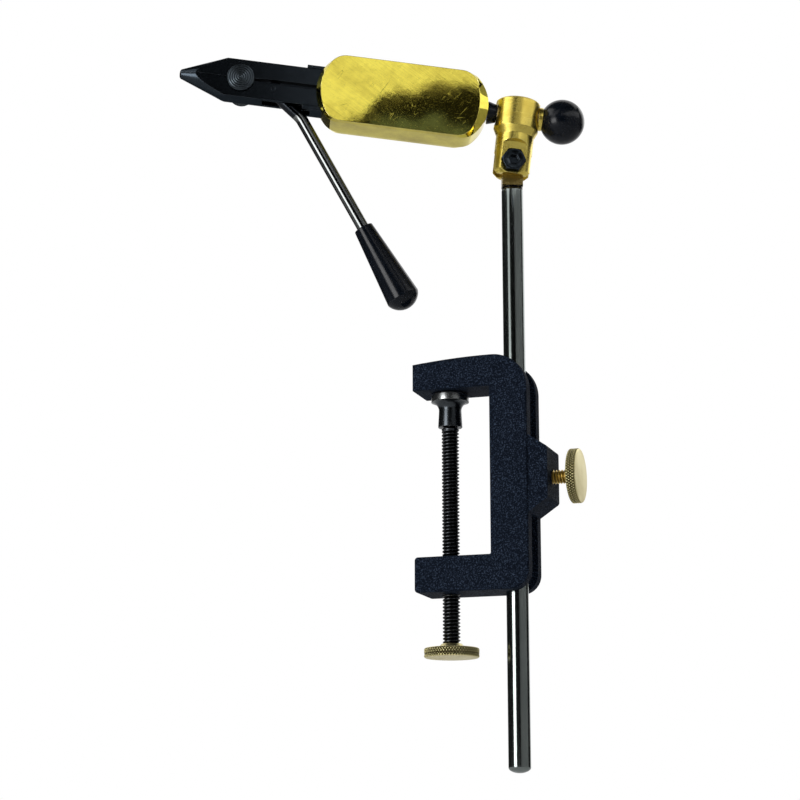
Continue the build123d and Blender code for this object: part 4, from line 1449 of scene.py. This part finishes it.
    def surface(self, name: str, points: Array, faces: list[list[int]], look: dict, seen: bool) -> None:
        """Add a surface to the stage.

        Args:
            name: Name of the surface and its material.
            points: Its points in metres.
            faces: The points of each face.
            look: Values of the shader's inputs.
            seen: Whether the camera sees it, or only the lights and mirrors do.
        """
        material = bpy.data.materials.new(name)
        material.use_nodes = True
        shader = material.node_tree.nodes["Principled BSDF"]
        for key, value in look.items():
            shader.inputs[key].default_value = value
        mesh = bpy.data.meshes.new(name)
        mesh.from_pydata(points.tolist(), [], faces)
        mesh.materials.append(material)
        thing = bpy.data.objects.new(name, mesh)
        thing.visible_camera = seen
        bpy.context.scene.collection.objects.link(thing)

    def lights(self) -> None:
        """Hang the soft lights: strips on the left, broad ones above and behind, a small one for the head."""
        self.lamp("low_strip", -27.0, 1.35, 0.02, (0.62, 0.50), 7.5)
        self.lamp("high_strip", -29.5, 1.35, 0.56, (0.53, 0.56), 1.5)
        self.lamp("top_light", -62.0, 1.0, 0.95, (0.9, 0.7), 2.2)
        self.lamp("back_light", 150.0, 1.4, 0.7, (0.8, 0.8), 1.2)
        self.lamp("head_light", 77.0, 0.16, 0.178, (0.19, 0.05), 1.2)

    def lamp(self, name: str, angle: float, reach: float, height: float, size: tuple[float, float],
             radiance: float) -> None:
        """Hang a rectangular light that faces the vise.

        Args:
            name: Name of the light.
            angle: Angle from the front, towards the right.
            reach: Distance from the vise's middle.
            height: Its height.
            size: Its width and height.
            radiance: Brightness of its face, 1 being white.
        """
        data = bpy.data.lights.new(name, "AREA")
        data.shape, data.size, data.size_y = "RECTANGLE", *size
        data.energy = radiance * np.pi * size[0] * size[1]
        f = np.radians(angle)
        point = np.array((reach * np.sin(f), -reach * np.cos(f), height))
        back = point - (0.0, 0.0, self.aim_height)
        back /= np.linalg.norm(back)
        right = np.cross((0.0, 0.0, 1.0), back)
        right /= np.linalg.norm(right)
        thing = bpy.data.objects.new(name, data)
        thing.visible_camera = False
        self.put(thing, right, np.cross(back, right), back, point)

    def face_cards(self) -> None:
        """Hang the two cards that the body's near face mirrors: a white one, and a dim one below it."""
        white = np.array((
            (-94.0, -46.0), (-82.0, -46.0), (-77.0, -16.0), (-69.0, -12.5), (-65.0, -6.0), (-61.0, -0.5),
            (-57.0, 0.0), (-52.0, 2.0), (-46.0, 1.5), (-42.0, 5.5), (-37.0, 8.8), (-31.0, 7.6), (-24.0, 9.4),
            (-17.0, 8.2), (-11.0, 4.0), (-6.0, -8.0), (8.0, -34.0), (30.0, 10.0), (30.0, 56.0),
            (-94.0, 56.0)))
        dim = np.array((
            (-64.0, -30.0), (-64.0, -12.0), (-57.0, -11.0), (-50.0, -10.5), (-44.0, -11.5), (-39.0, -7.0),
            (-34.0, -6.5), (-30.0, -11.0), (-24.0, -11.0), (-16.0, -13.0), (-10.0, -13.5), (-10.0, -30.0)))
        self.face_card("white_card", white, 0.8, (0.62, 0.62, 0.62))
        self.face_card("dim_card", dim, 0.0, (0.09, 0.125, 0.21))

    def face_card(self, name: str, spots: Array, shade: float, glow: Colour) -> None:
        """Hang a card where the body's near face mirrors it.

        The card's corners lie on the rays from the camera's mirror image through points of the face.

        Args:
            name: Name of the card.
            spots: Where the face mirrors the corners, along it and up it in millimetres.
            shade: Grey of the card.
            glow: Light that the card gives off.
        """
        deck = LAYOUT.deck
        near = deck.span("body")[0][1]
        face = np.insert(spots, 1, near, axis=1)
        image = deck.local(np.array(self.camera_point)) * (1.0, -1.0, 1.0) + (0.0, 2.0 * near, 0.0)
        corners = deck.place(image + (face - image) * self.card_reach)
        look = {"Base Color": rgba((shade,) * 3), "Emission Color": rgba(glow), "Emission Strength": 1.0}
        self.surface(name, corners, [list(range(len(corners)))], look, False)


def main() -> None:
    """Build the vise's sub-assemblies in order, then the studio."""
    logging.basicConfig(level=logging.INFO, format="%(name)s: %(message)s")
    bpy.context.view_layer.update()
    SharedEffects()
    for kind in (TableClamp, Thumbscrew, Stem, TiltHead, RollingBody, Jaws, CamLever, BallKnob):
        LOG.info("building %s", kind.__name__)
        kind().build()
    Studio().build()
    scene = bpy.context.scene
    scene.view_settings.view_transform = "Standard"


if __name__ == "__main__":
    main()
